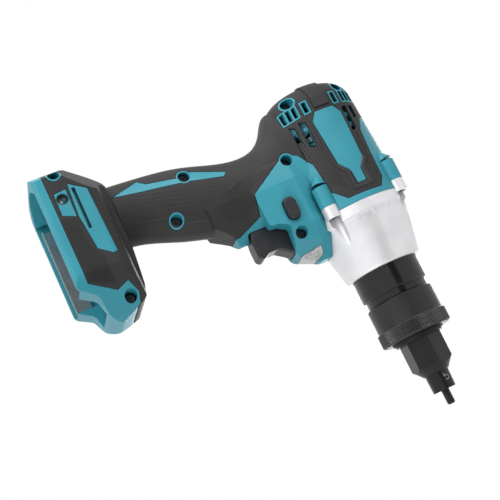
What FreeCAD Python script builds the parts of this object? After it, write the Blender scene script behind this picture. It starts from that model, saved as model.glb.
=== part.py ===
import FreeCAD, Part
import math
import os
import Sketcher
from FreeCAD import Placement, Rotation, Vector

# Cordless rivet-nut gun, bare tool without its battery.
# Origin: centre of the nosepiece's front face, on the barrel axis.
# +X points forward along the barrel, +Y to the tool's left, +Z up; the grip hangs down.
# Along the barrel, places are given as stations: distances behind the nosepiece's face.
# The clamshell has its own frame on the same axis, with x = 0 at its joint with the gear housing.

SIZES = {
    # mandrel and nosepiece
    "mandrel_reach": 9.25, "mandrel_radius": 2.45, "mandrel_socket": 62.0, "mandrel_shank_radius": 3.5,
    "mandrel_relief": 0.45, "mandrel_gap": 0.3, "spigot_length": 11.25, "spigot_radius": 7.4, "cone_length": 5.5,
    "cone_radius": 8.2, "hex_across_flats": 23.5, "hex_length": 17.5, "hex_round": 12.9,
    "nose_thread_radius": 10.5, "nose_thread_length": 9.0,
    # stroke sleeve, its stop ring, circlip and the barrel tube that carries them
    "sleeve_room": 2.75, "sleeve_length": 25.5, "sleeve_radius": 21.5, "sleeve_wall": 3.0,
    "knurl_length": 9.75, "knurl_radius": 22.3, "sleeve_lip": 3.0, "running_gap": 0.3,
    "stop_length": 4.0, "stop_travel": 4.0, "stop_wall": 2.3, "key_width": 4.4,
    "circlip_width": 1.2, "circlip_depth": 2.2,
    "tube_radius": 15.5, "tube_bore": 12.0, "tube_flange_radius": 17.5, "tube_flange_length": 4.5,
    # glossy collar between the sleeve and the gear housing
    "neck_length": 4.5, "neck_radius": 20.0, "collar_length": 15.4, "collar_radius": 21.7,
    "collar_thread_radius": 19.6, "collar_thread_length": 7.6, "collar_over_tube": 2.4,
    # pull screw, chuck and spindle nut
    "pull_stroke": 6.0, "screw_radius": 5.6, "chuck_radius": 8.6, "chuck_head_radius": 11.4,
    "chuck_head_length": 3.4, "chuck_length": 20.0, "screw_end_room": 6.0, "stop_room": 0.3,
    "nut_radius": 11.0, "nut_bore": 5.9, "nut_flange_radius": 16.0, "nut_flange_length": 4.0,
    "thrust_washer": 1.5, "thrust_cage": 2.0,
    "spindle_bearing_radius": 19.0, "spindle_bearing_width": 8.0, "spindle_bearing_offset": 2.0,
    "bearing_race": 2.4, "bearing_shield": 0.6,
    # gear housing casting
    "gear_housing_length": 41.6, "rim_radius": 25.1, "waist_radius": 28.6, "drum_radius": 31.2,
    "flange_radius": 33.2, "flange_length": 8.0, "joint_lead": 1.4, "gusset": 1.6, "gusset_length": 7.0,
    "casting_spigot_length": 15.0, "casting_spigot_wall": 2.1,
    "lug_radius": 5.3, "lug_clearance": 0.2, "lug_front": 4.2, "lug_rear": 3.6, "lug_counterbore": 3.9,
    "lug_counterbore_depth": 2.4, "lug_screw_head": 3.6, "lug_screw_radius": 2.0,
    "lug_screw_length": 19.0, "casting_fit": 0.2,
    # two-stage planetary gear
    "ring_in_casting": 10.0, "tooth_module": 1.0, "addendum": 0.8, "dedendum": 1.2, "backlash": 0.26,
    "planet_width": 7.6, "planet_pin_radius": 2.0, "pin_gap": 0.1, "carrier_radius": 21.0,
    "carrier_plate": 3.6, "side_gap": 0.4, "ring_wall": 2.1, "rear_plate": 3.2,
    # motor
    "front_bearing_radius": 9.5, "front_bearing_width": 5.0, "front_journal": 3.5,
    "rear_bearing_radius": 8.0, "rear_bearing_width": 5.0, "rear_journal": 3.0,
    "pinion_journal": 2.8, "shaft_radius": 4.0, "bearing_hub": 11.6,
    "stator_start": 28.0, "stator_length": 21.0, "stator_radius": 25.0, "stator_yoke": 3.4,
    "stator_tooth_width": 5.4, "air_gap": 0.5, "rotor_radius": 12.8, "magnet_thickness": 1.8,
    "coil_overhang": 4.0, "coil_thickness": 3.2, "board_gap": 0.8, "board_thickness": 1.5,
    "fan_start": 57.0, "fan_width": 7.0, "fan_radius": 24.0, "fan_hub": 7.0, "fan_blade": 1.2,
    "rear_bearing_start": 66.5,
    # motor barrel of the clamshell, a slight cone whose rear end leans forward towards the grip
    "barrel_front_radius": 33.4, "barrel_rear_radius": 29.5, "barrel_length": 82.5,
    "barrel_rear_lean": -2.0, "barrel_rear_height": 12.0, "barrel_rear_round": 14.0,
    "spine_half_width": 6.4, "spine_height": 1.0,
    # clamshell walls and covers
    "wall": 2.6, "cover_thickness": 1.6, "cover_gap": 0.2, "cover_fit": 0.1, "rib": 2.0,
    "boss_radius": 4.7, "screw_hole_radius": 3.7, "screw_head_radius": 3.2, "screw_head_length": 2.4,
    "screw_radius_thread": 1.5, "screw_length": 15.0,
    # trigger, direction lever and lamp
    "trigger_half_width": 7.6, "trigger_round": 1.8, "trigger_travel": 6.0, "trigger_gap": 0.4,
    "lever_place": -12.3, "lever_height": -44.5, "lever_half_length": 7.0, "lever_half_height": 3.7,
    "lever_half_span": 24.5, "lever_gap": 0.3, "lever_core": 0.62, "lever_round": 1.3,
    "plunger_radius": 3.0, "plunger_height": -60.0,
    "switch_half_width": 9.0, "switch_front": -22.0, "switch_rear": -42.0, "switch_top": -50.5,
    "switch_bottom": -76.0,
    # foot and battery interface
    "foot_half_width": 38.5, "foot_bottom": -184.4, "foot_wall": 4.6, "bay_roof": -163.0,
    "bay_rear": -74.5, "bay_front": -10.5, "bay_web": 2.2, "rail_lip": 4.6, "rail_sheet": 1.4,
    "rail_length": 58.0, "rail_height": 11.0, "blade_width": 0.8, "blade_length": 12.0,
    "blade_height": 7.0, "blade_pitch": 9.0, "hook_hole_radius": 2.1, "hook_insert_radius": 3.4,
    "hook_recess": 1.9,
}

# Grip stations from the foot up to the motor: height, rear, front and half width of each oval section.
GRIP = {
    "root": (-151.0, -72.0, -32.5, 15.5), "base": (-142.0, -72.0, -32.5, 15.5),
    "low": (-124.0, -71.0, -29.0, 15.5), "palm": (-108.0, -69.5, -23.5, 17.0),
    "swell": (-92.0, -66.7, -19.0, 17.5), "waist": (-72.0, -61.2, -13.0, 17.0),
    "neck": (-54.0, -59.2, -9.0, 18.0), "throat": (-47.0, -60.8, -8.5, 18.0),
    "shoulder": (-40.0, -65.2, -8.5, 18.8), "brow": (-34.0, -72.5, -8.0, 20.0),
    "top": (-23.0, -78.0, -8.0, 22.5),
}

# Clamshell screws: place, height and depth of the head's seat behind the tool's middle plane.
SCREWS = {
    "rear_high": (-75.0, 17.5, 12.0), "rear_low": (-75.0, -17.5, 12.0), "shoulder": (-41.9, -33.3, 9.0),
    "chin": (3.0, -44.0, 9.0), "stripe": (-57.0, -95.6, 7.0), "palm": (-33.3, -110.8, 7.0),
    "foot_front": (1.6, -156.8, 16.0), "foot_rear": (-79.6, -170.6, 16.0),
}

doc = FreeCAD.newDocument("RivetNutGun")
sheet = doc.addObject("Spreadsheet::Sheet", "Sizes")


class Size(float):
    """A number in millimetres that remembers which cells of the sheet it was worked out from."""

    def __new__(cls, value, text=None):
        size = super().__new__(cls, value)
        size.text = text if text else "(%r)" % float(value)
        return size

    def __add__(self, other):
        return Size(float(self) + float(other), "(%s + %s)" % (self.text, Size.text_of(other)))

    def __radd__(self, other):
        return Size(float(other) + float(self), "(%s + %s)" % (Size.text_of(other), self.text))

    def __sub__(self, other):
        return Size(float(self) - float(other), "(%s - %s)" % (self.text, Size.text_of(other)))

    def __rsub__(self, other):
        return Size(float(other) - float(self), "(%s - %s)" % (Size.text_of(other), self.text))

    def __mul__(self, other):
        return Size(float(self) * float(other), "(%s * %s)" % (self.text, Size.text_of(other)))

    __rmul__ = __mul__

    def __truediv__(self, other):
        return Size(float(self) / float(other), "(%s / %s)" % (self.text, Size.text_of(other)))

    def __neg__(self):
        return Size(-float(self), "(0 - %s)" % self.text)

    @staticmethod
    def text_of(value):
        return value.text if isinstance(value, Size) else "(%r)" % float(value)


class Sizes:
    """The sheet's cells by their alias."""


def fill_sheet():
    """Write every driving size into the sheet and return the same sizes by name."""
    cells = dict(SIZES)
    for name, row in GRIP.items():
        cells.update(zip([f"grip_{name}_{what}" for what in ("height", "rear", "front", "half")], row))
    for name, row in SCREWS.items():
        cells.update(zip([f"screw_{name}_{what}" for what in ("place", "height", "seat")], row))
    sizes = Sizes()
    for line, (alias, value) in enumerate(cells.items(), start=1):
        sheet.set(f"A{line}", alias.replace("_", " "))
        sheet.set(f"B{line}", str(value))
        sheet.setAlias(f"B{line}", alias)
    doc.recompute()
    for alias in cells:
        setattr(sizes, alias, Size(sheet.get(alias), f"Sizes.{alias}"))
    return sizes


S = fill_sheet()
parts = {}


def keep(label, thing, place=Placement()):
    """Give a sub-part its label and place; a bare shape becomes a feature of its own first."""
    if not isinstance(thing, FreeCAD.DocumentObject):
        feature = doc.addObject("Part::Feature", label)
        feature.Shape = thing
        thing = feature
        thing.Placement = place
    thing.Label = label
    parts[label] = thing
    return thing


def bind(thing, path, size):
    """Tie one property or constraint to the sheet."""
    thing.setExpression(path, size.text if isinstance(size, Size) else Size(size).text)


# Stations along the barrel, each worked out from the lengths in front of it.
hex_front = S.spigot_length + S.cone_length
hex_rear = hex_front + S.hex_length
sleeve_front = hex_rear + S.sleeve_room
sleeve_rear = sleeve_front + S.sleeve_length
collar_front = sleeve_rear + S.neck_length
rim = collar_front + S.collar_length
flange = rim + S.gear_housing_length
tube_flange_front = rim - S.collar_over_tube
tube_rear = tube_flange_front + S.tube_flange_length
washer_rear = tube_rear + S.thrust_washer
nut_flange_front = washer_rear + S.thrust_cage
nut_flange_rear = nut_flange_front + S.nut_flange_length

# Gear train stations: the ring gear's front end stands on a shoulder in the casting.
ring_front = flange - S.ring_in_casting
carrier_2_front = ring_front - S.carrier_plate - S.side_gap
planets_2_front = carrier_2_front + S.carrier_plate + S.side_gap
planets_2_rear = planets_2_front + S.planet_width
carrier_1_front = planets_2_rear + S.side_gap
planets_1_front = carrier_1_front + S.carrier_plate + S.side_gap
planets_1_rear = planets_1_front + S.planet_width
ring_rear = planets_1_rear + S.side_gap * 2
plate_rear = ring_rear + S.rear_plate
front_bearing_rear = plate_rear + S.front_bearing_width
nut_rear = carrier_2_front
spindle_bearing_rear = nut_rear - S.spindle_bearing_offset
spindle_bearing_front = spindle_bearing_rear - S.spindle_bearing_width

SUN_TEETH, PLANET_TEETH, RING_TEETH = 12, 18, 48
PLANETS = 3
sun_pitch = S.tooth_module * SUN_TEETH / 2
planet_pitch = S.tooth_module * PLANET_TEETH / 2
ring_pitch = S.tooth_module * RING_TEETH / 2
planet_circle = sun_pitch + planet_pitch
ring_radius = ring_pitch + S.dedendum + S.ring_wall

# Motor stations, counted back from the flange.
stator_front = flange + S.stator_start
stator_rear = stator_front + S.stator_length
board_front = stator_rear + S.coil_overhang + S.board_gap
rear_bearing_front = flange + S.rear_bearing_start
rear_bearing_rear = rear_bearing_front + S.rear_bearing_width


# Bodies made in sketches
def origin_plane(body, role):
    """One of the body's own origin planes or axes."""
    return next(item for item in body.Origin.OriginFeatures if item.Role == role)


def new_body(label, station):
    """A body on the barrel axis whose own x runs backwards from a station."""
    body = doc.addObject("PartDesign::Body", label)
    body.Placement = Placement(Vector(-station, 0, 0), Rotation(Vector(0, 0, 1), 180))
    bind(body, "Placement.Base.x", -station if isinstance(station, Size) else Size(-station))
    keep(label, body)
    return body


def new_sketch(body, role, name, offset=None):
    """A sketch on one of the body's origin planes, moved along the plane's normal if need be."""
    sketch = body.newObject("Sketcher::SketchObject", name)
    sketch.AttachmentSupport = (origin_plane(body, role), [""])
    sketch.MapMode = "FlatFace"
    if offset is not None:
        bind(sketch, "AttachmentOffset.Base.z", offset)
    return sketch


def place_point(sketch, index, along, across):
    """Fix one corner of a sketched outline to the sheet."""
    for kind, value, axis in (("DistanceX", along, -2), ("DistanceY", across, -1)):
        if float(value) == 0:
            sketch.addConstraint(Sketcher.Constraint("PointOnObject", index, 1, axis))
            continue
        number = sketch.addConstraint(Sketcher.Constraint(kind, -1, 1, index, 1, float(value)))
        if isinstance(value, Size):
            bind(sketch, f"Constraints[{number}]", value)


def sketch_outline(sketch, corners):
    """A closed outline of straight lines through the given corners."""
    first = sketch.GeometryCount
    count = len(corners)
    for index, corner in enumerate(corners):
        following = corners[(index + 1) % count]
        start = Vector(float(corner[0]), float(corner[1]), 0)
        end = Vector(float(following[0]), float(following[1]), 0)
        sketch.addGeometry(Part.LineSegment(start, end), False)
    for index in range(count):
        after = first + (index + 1) % count
        sketch.addConstraint(Sketcher.Constraint("Coincident", first + index, 2, after, 1))
    for index, corner in enumerate(corners):
        place_point(sketch, first + index, corner[0], corner[1])


def sketch_circle(sketch, along, across, radius):
    """A circle whose centre and radius are fixed to the sheet."""
    index = sketch.addGeometry(Part.Circle(Vector(float(along), float(across), 0), Vector(0, 0, 1), radius))
    for kind, value, axis in (("DistanceX", along, -2), ("DistanceY", across, -1)):
        if float(value) == 0:
            sketch.addConstraint(Sketcher.Constraint("PointOnObject", index, 3, axis))
            continue
        number = sketch.addConstraint(Sketcher.Constraint(kind, -1, 1, index, 3, float(value)))
        bind(sketch, f"Constraints[{number}]", value)
    number = sketch.addConstraint(Sketcher.Constraint("Radius", index, float(radius)))
    bind(sketch, f"Constraints[{number}]", radius)


def turned(label, profile):
    """A body turned about the barrel axis from (station, radius) corners."""
    start = min((corner[0] for corner in profile), key=float)
    body = new_body(label, start)
    sketch = new_sketch(body, "XY_Plane", label + "_profile")
    sketch_outline(sketch, [(station - start, radius) for station, radius in profile])
    turn = body.newObject("PartDesign::Revolution", label + "_turn")
    turn.Profile = sketch
    turn.ReferenceAxis = (sketch, ["H_Axis"])
    turn.Angle = 360
    return body


def tube_profile(front, rear, outer, inner):
    """The four corners of a plain ring."""
    return [(front, inner), (front, outer), (rear, outer), (rear, inner)]


def add_pad(body, name, offset, length, circles=(), outlines=()):
    """One more pad on a body, from circles or outlines in the (y, z) plane."""
    sketch = new_sketch(body, "YZ_Plane", name + "_section", offset)
    for circle in circles:
        sketch_circle(sketch, *circle)
    for outline in outlines:
        sketch_outline(sketch, outline)
    pad = body.newObject("PartDesign::Pad", name)
    pad.Profile = sketch
    bind(pad, "Length", length)
    return pad


def add_pocket(body, name, plane, offset, circles=(), outlines=(), both_ways=False):
    """A cut through everything on the near side of a plane, or on both sides of it."""
    sketch = new_sketch(body, plane, name + "_section", offset)
    for circle in circles:
        sketch_circle(sketch, *circle)
    for outline in outlines:
        sketch_outline(sketch, outline)
    pocket = body.newObject("PartDesign::Pocket", name)
    pocket.Profile = sketch
    pocket.Type = "ThroughAll"
    pocket.Midplane = both_ways
    return pocket


def repeat_round(body, name, features, count):
    """Repeat features evenly round the barrel axis."""
    pattern = body.newObject("PartDesign::PolarPattern", name)
    pattern.Originals = features
    pattern.Axis = (origin_plane(body, "X_Axis"), [""])
    pattern.Angle = 360
    pattern.Occurrences = count
    body.Tip = pattern
    return pattern


def rectangle(left, right, low, high):
    """Corners of an upright rectangle."""
    return [(left, low), (right, low), (right, high), (left, high)]


def round_corners(radius, count, turn=0.0):
    """Corners spread evenly on a circle."""
    angles = [turn + 2 * math.pi * step / count for step in range(count)]
    return [(radius * math.cos(angle), radius * math.sin(angle)) for angle in angles]


# Nose: mandrel, nosepiece and the tube they stand in
bore = S.mandrel_radius + S.mandrel_gap
chuck_front = hex_rear + S.nose_thread_length + S.running_gap
chuck_head_rear = chuck_front + S.chuck_head_length
chuck_rear = chuck_front + S.chuck_length
stop_front = chuck_head_rear + S.pull_stroke + S.stop_room + S.stop_travel
stop_rear = stop_front + S.stop_length
screw_rear = carrier_2_front - S.screw_end_room


def make_mandrel():
    """The threaded mandrel: its thread ahead of the nosepiece and its shank in the chuck."""
    tip = -S.mandrel_reach
    neck = S.mandrel_radius - S.mandrel_relief
    shank_front = chuck_front + S.running_gap
    return turned("mandrel", [
        (tip, 0), (tip, S.mandrel_radius - 0.7), (tip + 0.9, S.mandrel_radius),
        (0, S.mandrel_radius), (0, neck), (shank_front, neck), (shank_front, S.mandrel_shank_radius),
        (S.mandrel_socket, S.mandrel_shank_radius), (S.mandrel_socket, 0)])


def make_nosepiece():
    """The anvil: spigot, cone, hexagon and a thread that screws into the barrel tube."""
    edge = 0.5
    neck = S.spigot_radius + edge / 2
    thread_rear = hex_rear + S.nose_thread_length
    body = turned("nosepiece", [
        (0, bore), (0, S.spigot_radius - edge), (edge, S.spigot_radius), (S.spigot_length, neck),
        (hex_rear, neck), (hex_rear, S.nose_thread_radius), (thread_rear, S.nose_thread_radius),
        (thread_rear, bore)])
    corner = S.hex_across_flats / math.sqrt(3)
    add_pad(body, "nosepiece_hexagon", S.spigot_length, hex_rear - S.spigot_length,
            [(0, 0, neck - 1)], [round_corners(corner, 6)])
    above = corner + 2
    slope = S.cone_length / (S.hex_round - S.cone_radius)
    cone_end = S.spigot_length + (above - S.cone_radius) * slope
    sketch = new_sketch(body, "XY_Plane", "nosepiece_cone_section")
    sketch_outline(sketch, [(S.spigot_length, S.cone_radius), (cone_end, above), (S.spigot_length, above)])
    cone = body.newObject("PartDesign::Groove", "nosepiece_cone")
    cone.Profile = sketch
    cone.ReferenceAxis = (sketch, ["H_Axis"])
    cone.Angle = 360
    return body


def make_barrel_tube():
    """The steel tube that takes the pull: nosepiece thread, circlip groove, two keyways and rear flange."""
    groove = sleeve_front - S.running_gap - S.circlip_width
    floor = S.tube_radius - S.circlip_depth / 2
    start = hex_rear
    step = hex_rear + S.nose_thread_length
    body = turned("barrel_tube", [
        (start, S.nose_thread_radius), (start, S.tube_radius), (groove, S.tube_radius), (groove, floor),
        (groove + S.circlip_width, floor), (groove + S.circlip_width, S.tube_radius),
        (tube_flange_front, S.tube_radius), (tube_flange_front, S.tube_flange_radius),
        (tube_rear, S.tube_flange_radius), (tube_rear, S.tube_bore), (step, S.tube_bore),
        (step, S.nose_thread_radius)])
    front = stop_front - S.stop_travel - S.stop_room - start
    rear = stop_rear + S.stop_room - start
    side = S.key_width / 2 + S.stop_room
    add_pocket(body, "barrel_tube_keyways", "XZ_Plane", None, (), [rectangle(front, rear, -side, side)], True)
    return body


def make_circlip():
    """The retaining ring in front of the sleeve, open at the side, with two eared ends."""
    front = sleeve_front - S.running_gap - S.circlip_width
    inner = S.tube_radius - S.circlip_depth / 2
    outer = S.tube_radius + S.circlip_depth * 0.6
    body = turned("circlip", tube_profile(front, front + S.circlip_width, outer, inner))
    ear = S.circlip_depth * 0.7
    middle = outer
    add_pad(body, "circlip_ears", None, S.circlip_width, [
        (-(middle * math.cos(0.16)), middle * math.sin(0.16), ear),
        (-(middle * math.cos(0.16)), -(middle * math.sin(0.16)), ear)])
    gap = rectangle(-(S.tube_radius * 1.6), -(inner * 0.8), -ear / 3, ear / 3)
    add_pocket(body, "circlip_gap", "YZ_Plane", S.circlip_width, (), [gap])
    return body


def make_adjusting_sleeve():
    """The knurled sleeve that sets the stroke: a lip runs on the tube and the inside holds the stop ring."""
    lip = S.tube_radius + S.running_gap
    inner = S.sleeve_radius - S.sleeve_wall
    edge = 0.8
    return turned("adjusting_sleeve", [
        (sleeve_front, lip), (sleeve_front, S.knurl_radius - edge), (sleeve_front + edge, S.knurl_radius),
        (sleeve_front + S.knurl_length - edge, S.knurl_radius), (sleeve_front + S.knurl_length, S.sleeve_radius),
        (sleeve_rear - edge, S.sleeve_radius), (sleeve_rear, S.sleeve_radius - edge), (sleeve_rear, inner),
        (sleeve_front + S.sleeve_lip, inner), (sleeve_front + S.sleeve_lip, lip)])


def make_stop_ring():
    """The ring moved by the sleeve's inner thread; its two keys reach through the tube's keyways."""
    inner = S.tube_radius + S.running_gap
    body = turned("stop_ring", tube_profile(stop_front, stop_rear, inner + S.stop_wall, inner))
    tip = S.chuck_radius + S.running_gap * 2
    root = inner + 0.6
    half = S.key_width / 2
    keys = [rectangle(tip, root, -half, half), rectangle(-root, -tip, -half, half)]
    add_pad(body, "stop_ring_keys", None, S.stop_length, (), keys)
    return body


def make_barrel_collar():
    """The glossy collar screwed into the casting; it holds the tube's flange."""
    edge = 0.9
    thread_rear = rim + S.collar_thread_length
    front = sleeve_rear + S.running_gap
    hole = S.tube_radius + S.running_gap
    seat = S.tube_flange_radius + S.casting_fit
    return turned("barrel_collar", [
        (front, hole), (front, S.neck_radius), (collar_front, S.neck_radius),
        (collar_front, S.collar_radius - edge), (collar_front + edge, S.collar_radius),
        (rim - 0.1, S.collar_radius), (rim - 0.1, S.collar_thread_radius),
        (thread_rear, S.collar_thread_radius), (thread_rear, seat), (tube_flange_front, seat),
        (tube_flange_front, hole)])


def make_pull_screw():
    """The screw that the nut draws back, in one piece with the chuck that holds the mandrel."""
    return turned("pull_screw", [
        (chuck_front, S.mandrel_shank_radius), (chuck_front, S.chuck_head_radius),
        (chuck_head_rear, S.chuck_head_radius), (chuck_head_rear, S.chuck_radius),
        (chuck_rear, S.chuck_radius), (chuck_rear, S.screw_radius), (screw_rear, S.screw_radius),
        (screw_rear, 0), (S.mandrel_socket, 0), (S.mandrel_socket, S.mandrel_shank_radius)])


def make_spindle_nut():
    """The nut that the gear train turns; its flange pushes on the thrust bearing."""
    hub_front = tube_rear + S.running_gap
    return turned("spindle_nut", [
        (hub_front, S.nut_bore), (hub_front, S.nut_radius), (nut_flange_front + S.running_gap, S.nut_radius),
        (nut_flange_front + S.running_gap, S.nut_flange_radius), (nut_flange_rear, S.nut_flange_radius),
        (nut_flange_rear, S.nut_radius), (nut_rear, S.nut_radius), (nut_rear, S.nut_bore)])


def make_thrust_bearing():
    """The washer on the tube's flange and the caged needles between it and the nut."""
    hole = S.nut_radius + S.running_gap
    turned("thrust_washer", tube_profile(tube_rear, washer_rear, S.nut_flange_radius, hole))
    turned("thrust_needle_cage", tube_profile(
        washer_rear + 0.1, nut_flange_front, S.nut_flange_radius - 0.5, hole))


def make_bearing(label, front, width, outer, inner, inner_label):
    """A shielded ball bearing as its two races: the outer one carries the shields."""
    turned(inner_label, tube_profile(front, front + width, inner + S.bearing_race, inner))
    shield_hole = inner + S.bearing_race + S.running_gap
    race = outer - S.bearing_race
    turned(label, [
        (front, shield_hole), (front, outer), (front + width, outer), (front + width, shield_hole),
        (front + width - S.bearing_shield, shield_hole), (front + width - S.bearing_shield, race),
        (front + S.bearing_shield, race), (front + S.bearing_shield, shield_hole)])


# Gear housing casting and its screws
casting_bore = ring_radius
lug_circle = casting_bore + S.lug_radius + S.lug_clearance
joint = flange - S.joint_lead
GUSSETS = (-11.0, -1.5, 9.0)


def casting_profile():
    """Stations and radii of the casting's outside, from its rim to its joint with the clamshell."""
    step = flange - S.flange_length
    return [(rim, S.rim_radius - 1.0), (rim + 1.0, S.rim_radius), (rim + 6, S.rim_radius + 1.0),
            (rim + 18, S.waist_radius), (step - 1.6, S.drum_radius), (step, S.flange_radius),
            (joint, S.flange_radius)]


def make_gear_housing():
    """The die-cast aluminium drum: collar thread, spindle bearing seat, ring gear bore and four lugs."""
    thread_rear = rim + S.collar_thread_length
    spigot = casting_bore + S.casting_spigot_wall
    spigot_rear = flange + S.casting_spigot_length
    shoulder = S.carrier_radius + S.running_gap * 4
    throat = S.nut_flange_radius + S.running_gap * 4
    body = turned("gear_housing", [(rim, S.collar_thread_radius)] + casting_profile() + [
        (joint, spigot), (spigot_rear, spigot), (spigot_rear, casting_bore), (ring_front, casting_bore),
        (ring_front, shoulder), (spindle_bearing_rear, shoulder),
        (spindle_bearing_rear, S.spindle_bearing_radius), (spindle_bearing_front, S.spindle_bearing_radius),
        (spindle_bearing_front, throat), (thread_rear, throat), (thread_rear, S.collar_thread_radius)])
    step = S.gear_housing_length - S.flange_length
    wall_middle = float(casting_bore + S.drum_radius) / 2
    for number, height in enumerate(GUSSETS):
        outer = math.sqrt(float(S.flange_radius) ** 2 - height ** 2) - 0.3
        inner = math.sqrt(wall_middle ** 2 - height ** 2)
        for side, hand in ((-1, "left"), (1, "right")):
            sketch = new_sketch(body, "XY_Plane", f"gusset_{number}_{hand}", Size(height))
            sketch_outline(sketch, [(step, side * inner), (step, side * outer),
                                    (step - S.gusset_length, side * inner)][::side])
            rib = body.newObject("PartDesign::Pad", sketch.Name + "_rib")
            rib.Profile = sketch
            bind(rib, "Length", S.gusset)
            rib.Midplane = True
    side = lug_circle * math.sqrt(0.5)
    lug_front = flange - S.lug_front - rim
    lug_rear = flange + S.lug_rear - rim
    lug = add_pad(body, "lug", lug_front, S.lug_front + S.lug_rear, [(side, side, S.lug_radius)])
    hole = add_pocket(body, "lug_hole", "YZ_Plane", lug_rear, [(side, side, S.lug_screw_radius + 0.1)])
    recess = add_pocket(body, "lug_recess", "YZ_Plane", lug_front + S.lug_counterbore_depth,
                        [(side, side, S.lug_counterbore)])
    repeat_round(body, "lugs", [lug, hole, recess], 4)
    return body


def screw_shape(head_radius, head_length, shank_radius, length, socket_radius):
    """A cap screw along +X with its head's outer face at the origin and a socket in it."""
    head = Part.makeCylinder(head_radius, head_length, Vector(0, 0, 0), Vector(1, 0, 0))
    head = head.cut(Part.makeCylinder(socket_radius, head_length / 2, Vector(0, 0, 0), Vector(1, 0, 0)))
    shank = Part.makeCylinder(shank_radius, length, Vector(head_length, 0, 0), Vector(1, 0, 0))
    return head.fuse(shank)


def make_gear_housing_screws():
    """Four cap screws through the lugs into the clamshell's bosses."""
    screw = screw_shape(S.lug_screw_head, S.lug_counterbore_depth - 0.6, S.lug_screw_radius,
                        S.lug_screw_length, 1.7)
    screw.rotate(Vector(), Vector(0, 0, 1), 180)
    screws = []
    for turn in (45, 135, 225, 315):
        one = screw.copy()
        one.translate(Vector(-(flange - S.lug_front + 0.6), 0, lug_circle))
        one.rotate(Vector(), Vector(1, 0, 0), turn)
        screws.append(one)
    return keep("gear_housing_screws", Part.makeCompound(screws))


# Planetary gear
def tooth_corners(teeth, pitch, inner, outer, sign):
    """Corners of a straight-flanked gear; a tooth's middle lies at angle 0."""
    corners = []
    for tooth in range(teeth):
        middle = 2 * math.pi * tooth / teeth
        inner_half = tooth_half_angle(pitch, inner, sign)
        outer_half = tooth_half_angle(pitch, outer, sign)
        for radius, angle in ((inner, -inner_half), (outer, -outer_half), (outer, outer_half),
                              (inner, inner_half)):
            corners.append(Vector(0, radius * math.cos(middle + angle), radius * math.sin(middle + angle)))
    return corners


def tooth_half_angle(pitch, radius, sign):
    """Half the angle that a tooth spans at a radius; its flanks lean 20 degrees."""
    half = (math.pi * S.tooth_module / 2 - S.backlash) / 2
    return (half - sign * (radius - pitch) * math.tan(math.radians(20))) / radius


def toothed_face(corners):
    return Part.Face(Part.makePolygon(corners + corners[:1]))


def gear_shape(teeth, width, hole):
    """A spur gear from x = 0 backwards."""
    pitch = S.tooth_module * teeth / 2
    blank = toothed_face(tooth_corners(teeth, pitch, pitch - S.dedendum, pitch + S.addendum, 1))
    gear = blank.extrude(Vector(-width, 0, 0))
    if hole > 0:
        gear = gear.cut(Part.makeCylinder(hole, width + 2, Vector(1, 0, 0), Vector(-1, 0, 0)))
    return gear


def make_ring_gear():
    """The fixed ring gear that both stages share."""
    width = ring_rear - ring_front
    blank = Part.makeCylinder(ring_radius, width, Vector(0, 0, 0), Vector(-1, 0, 0))
    return keep("ring_gear", blank.cut(ring_space(width)), Placement(Vector(-ring_front, 0, 0), Rotation()))


def ring_space(width):
    """What is cut from the ring gear's blank: its bore and the gaps between its teeth."""
    corners = []
    step = 2 * math.pi / RING_TEETH
    tip, root = ring_pitch - S.addendum, ring_pitch + S.dedendum
    tip_half = tooth_half_angle(ring_pitch, tip, -1)
    root_half = tooth_half_angle(ring_pitch, root, -1)
    for tooth in range(RING_TEETH):
        middle = step * tooth
        for radius, angle in ((root, -root_half), (tip, -tip_half), (tip, tip_half), (root, root_half)):
            corners.append(Vector(1, radius * math.cos(middle + angle), radius * math.sin(middle + angle)))
    return toothed_face(corners).extrude(Vector(-width - 2, 0, 0))


def make_planets(stage, front):
    """Three planets of one stage, each turned so that its teeth enter the gaps of sun and ring."""
    for number in range(PLANETS):
        angle = 360.0 * number / PLANETS
        turn = angle + 180.0 / PLANET_TEETH
        across = planet_circle * math.cos(math.radians(angle))
        up = planet_circle * math.sin(math.radians(angle))
        gear = gear_shape(PLANET_TEETH, S.planet_width, S.planet_pin_radius + S.pin_gap)
        keep(f"planet_{stage}{'abc'[number]}", gear,
             Placement(Vector(-front, across, up), Rotation(Vector(1, 0, 0), turn)))


def make_carrier(label, front, planets_rear, hole):
    """A round plate with three pins for its planets."""
    plate_rear_here = front + S.carrier_plate
    body = turned(label, tube_profile(front, plate_rear_here, S.carrier_radius, hole))
    pin = add_pad(body, label + "_pin", S.carrier_plate - 0.5, planets_rear - plate_rear_here + 0.3,
                  [(planet_circle, 0, S.planet_pin_radius)])
    repeat_round(body, label + "_pins", [pin], PLANETS)
    return body


def make_gear_train():
    make_ring_gear()
    make_planets(1, planets_1_front)
    make_planets(2, planets_2_front)
    make_carrier("output_carrier", carrier_2_front, planets_2_rear, S.nut_bore)
    make_carrier("first_carrier", carrier_1_front, planets_1_rear, S.pinion_journal)
    sun_2_front = planets_2_front + S.running_gap
    keep("second_sun", gear_shape(SUN_TEETH, carrier_1_front - sun_2_front, 0),
         Placement(Vector(-sun_2_front, 0, 0), Rotation()))
    sun_1_front = planets_1_front + S.running_gap
    keep("pinion", gear_shape(SUN_TEETH, planets_1_rear - sun_1_front, S.pinion_journal),
         Placement(Vector(-sun_1_front, 0, 0), Rotation()))
    hub_hole = S.front_journal + S.bearing_race + 1.2
    turned("gearcase_rear_plate", [
        (ring_rear, hub_hole), (ring_rear, ring_radius), (plate_rear, ring_radius),
        (plate_rear, S.bearing_hub), (front_bearing_rear, S.bearing_hub),
        (front_bearing_rear, S.front_bearing_radius), (plate_rear, S.front_bearing_radius),
        (plate_rear, hub_hole)])


# Brushless motor
SLOTS, POLES, BLADES = 6, 4, 9


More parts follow.
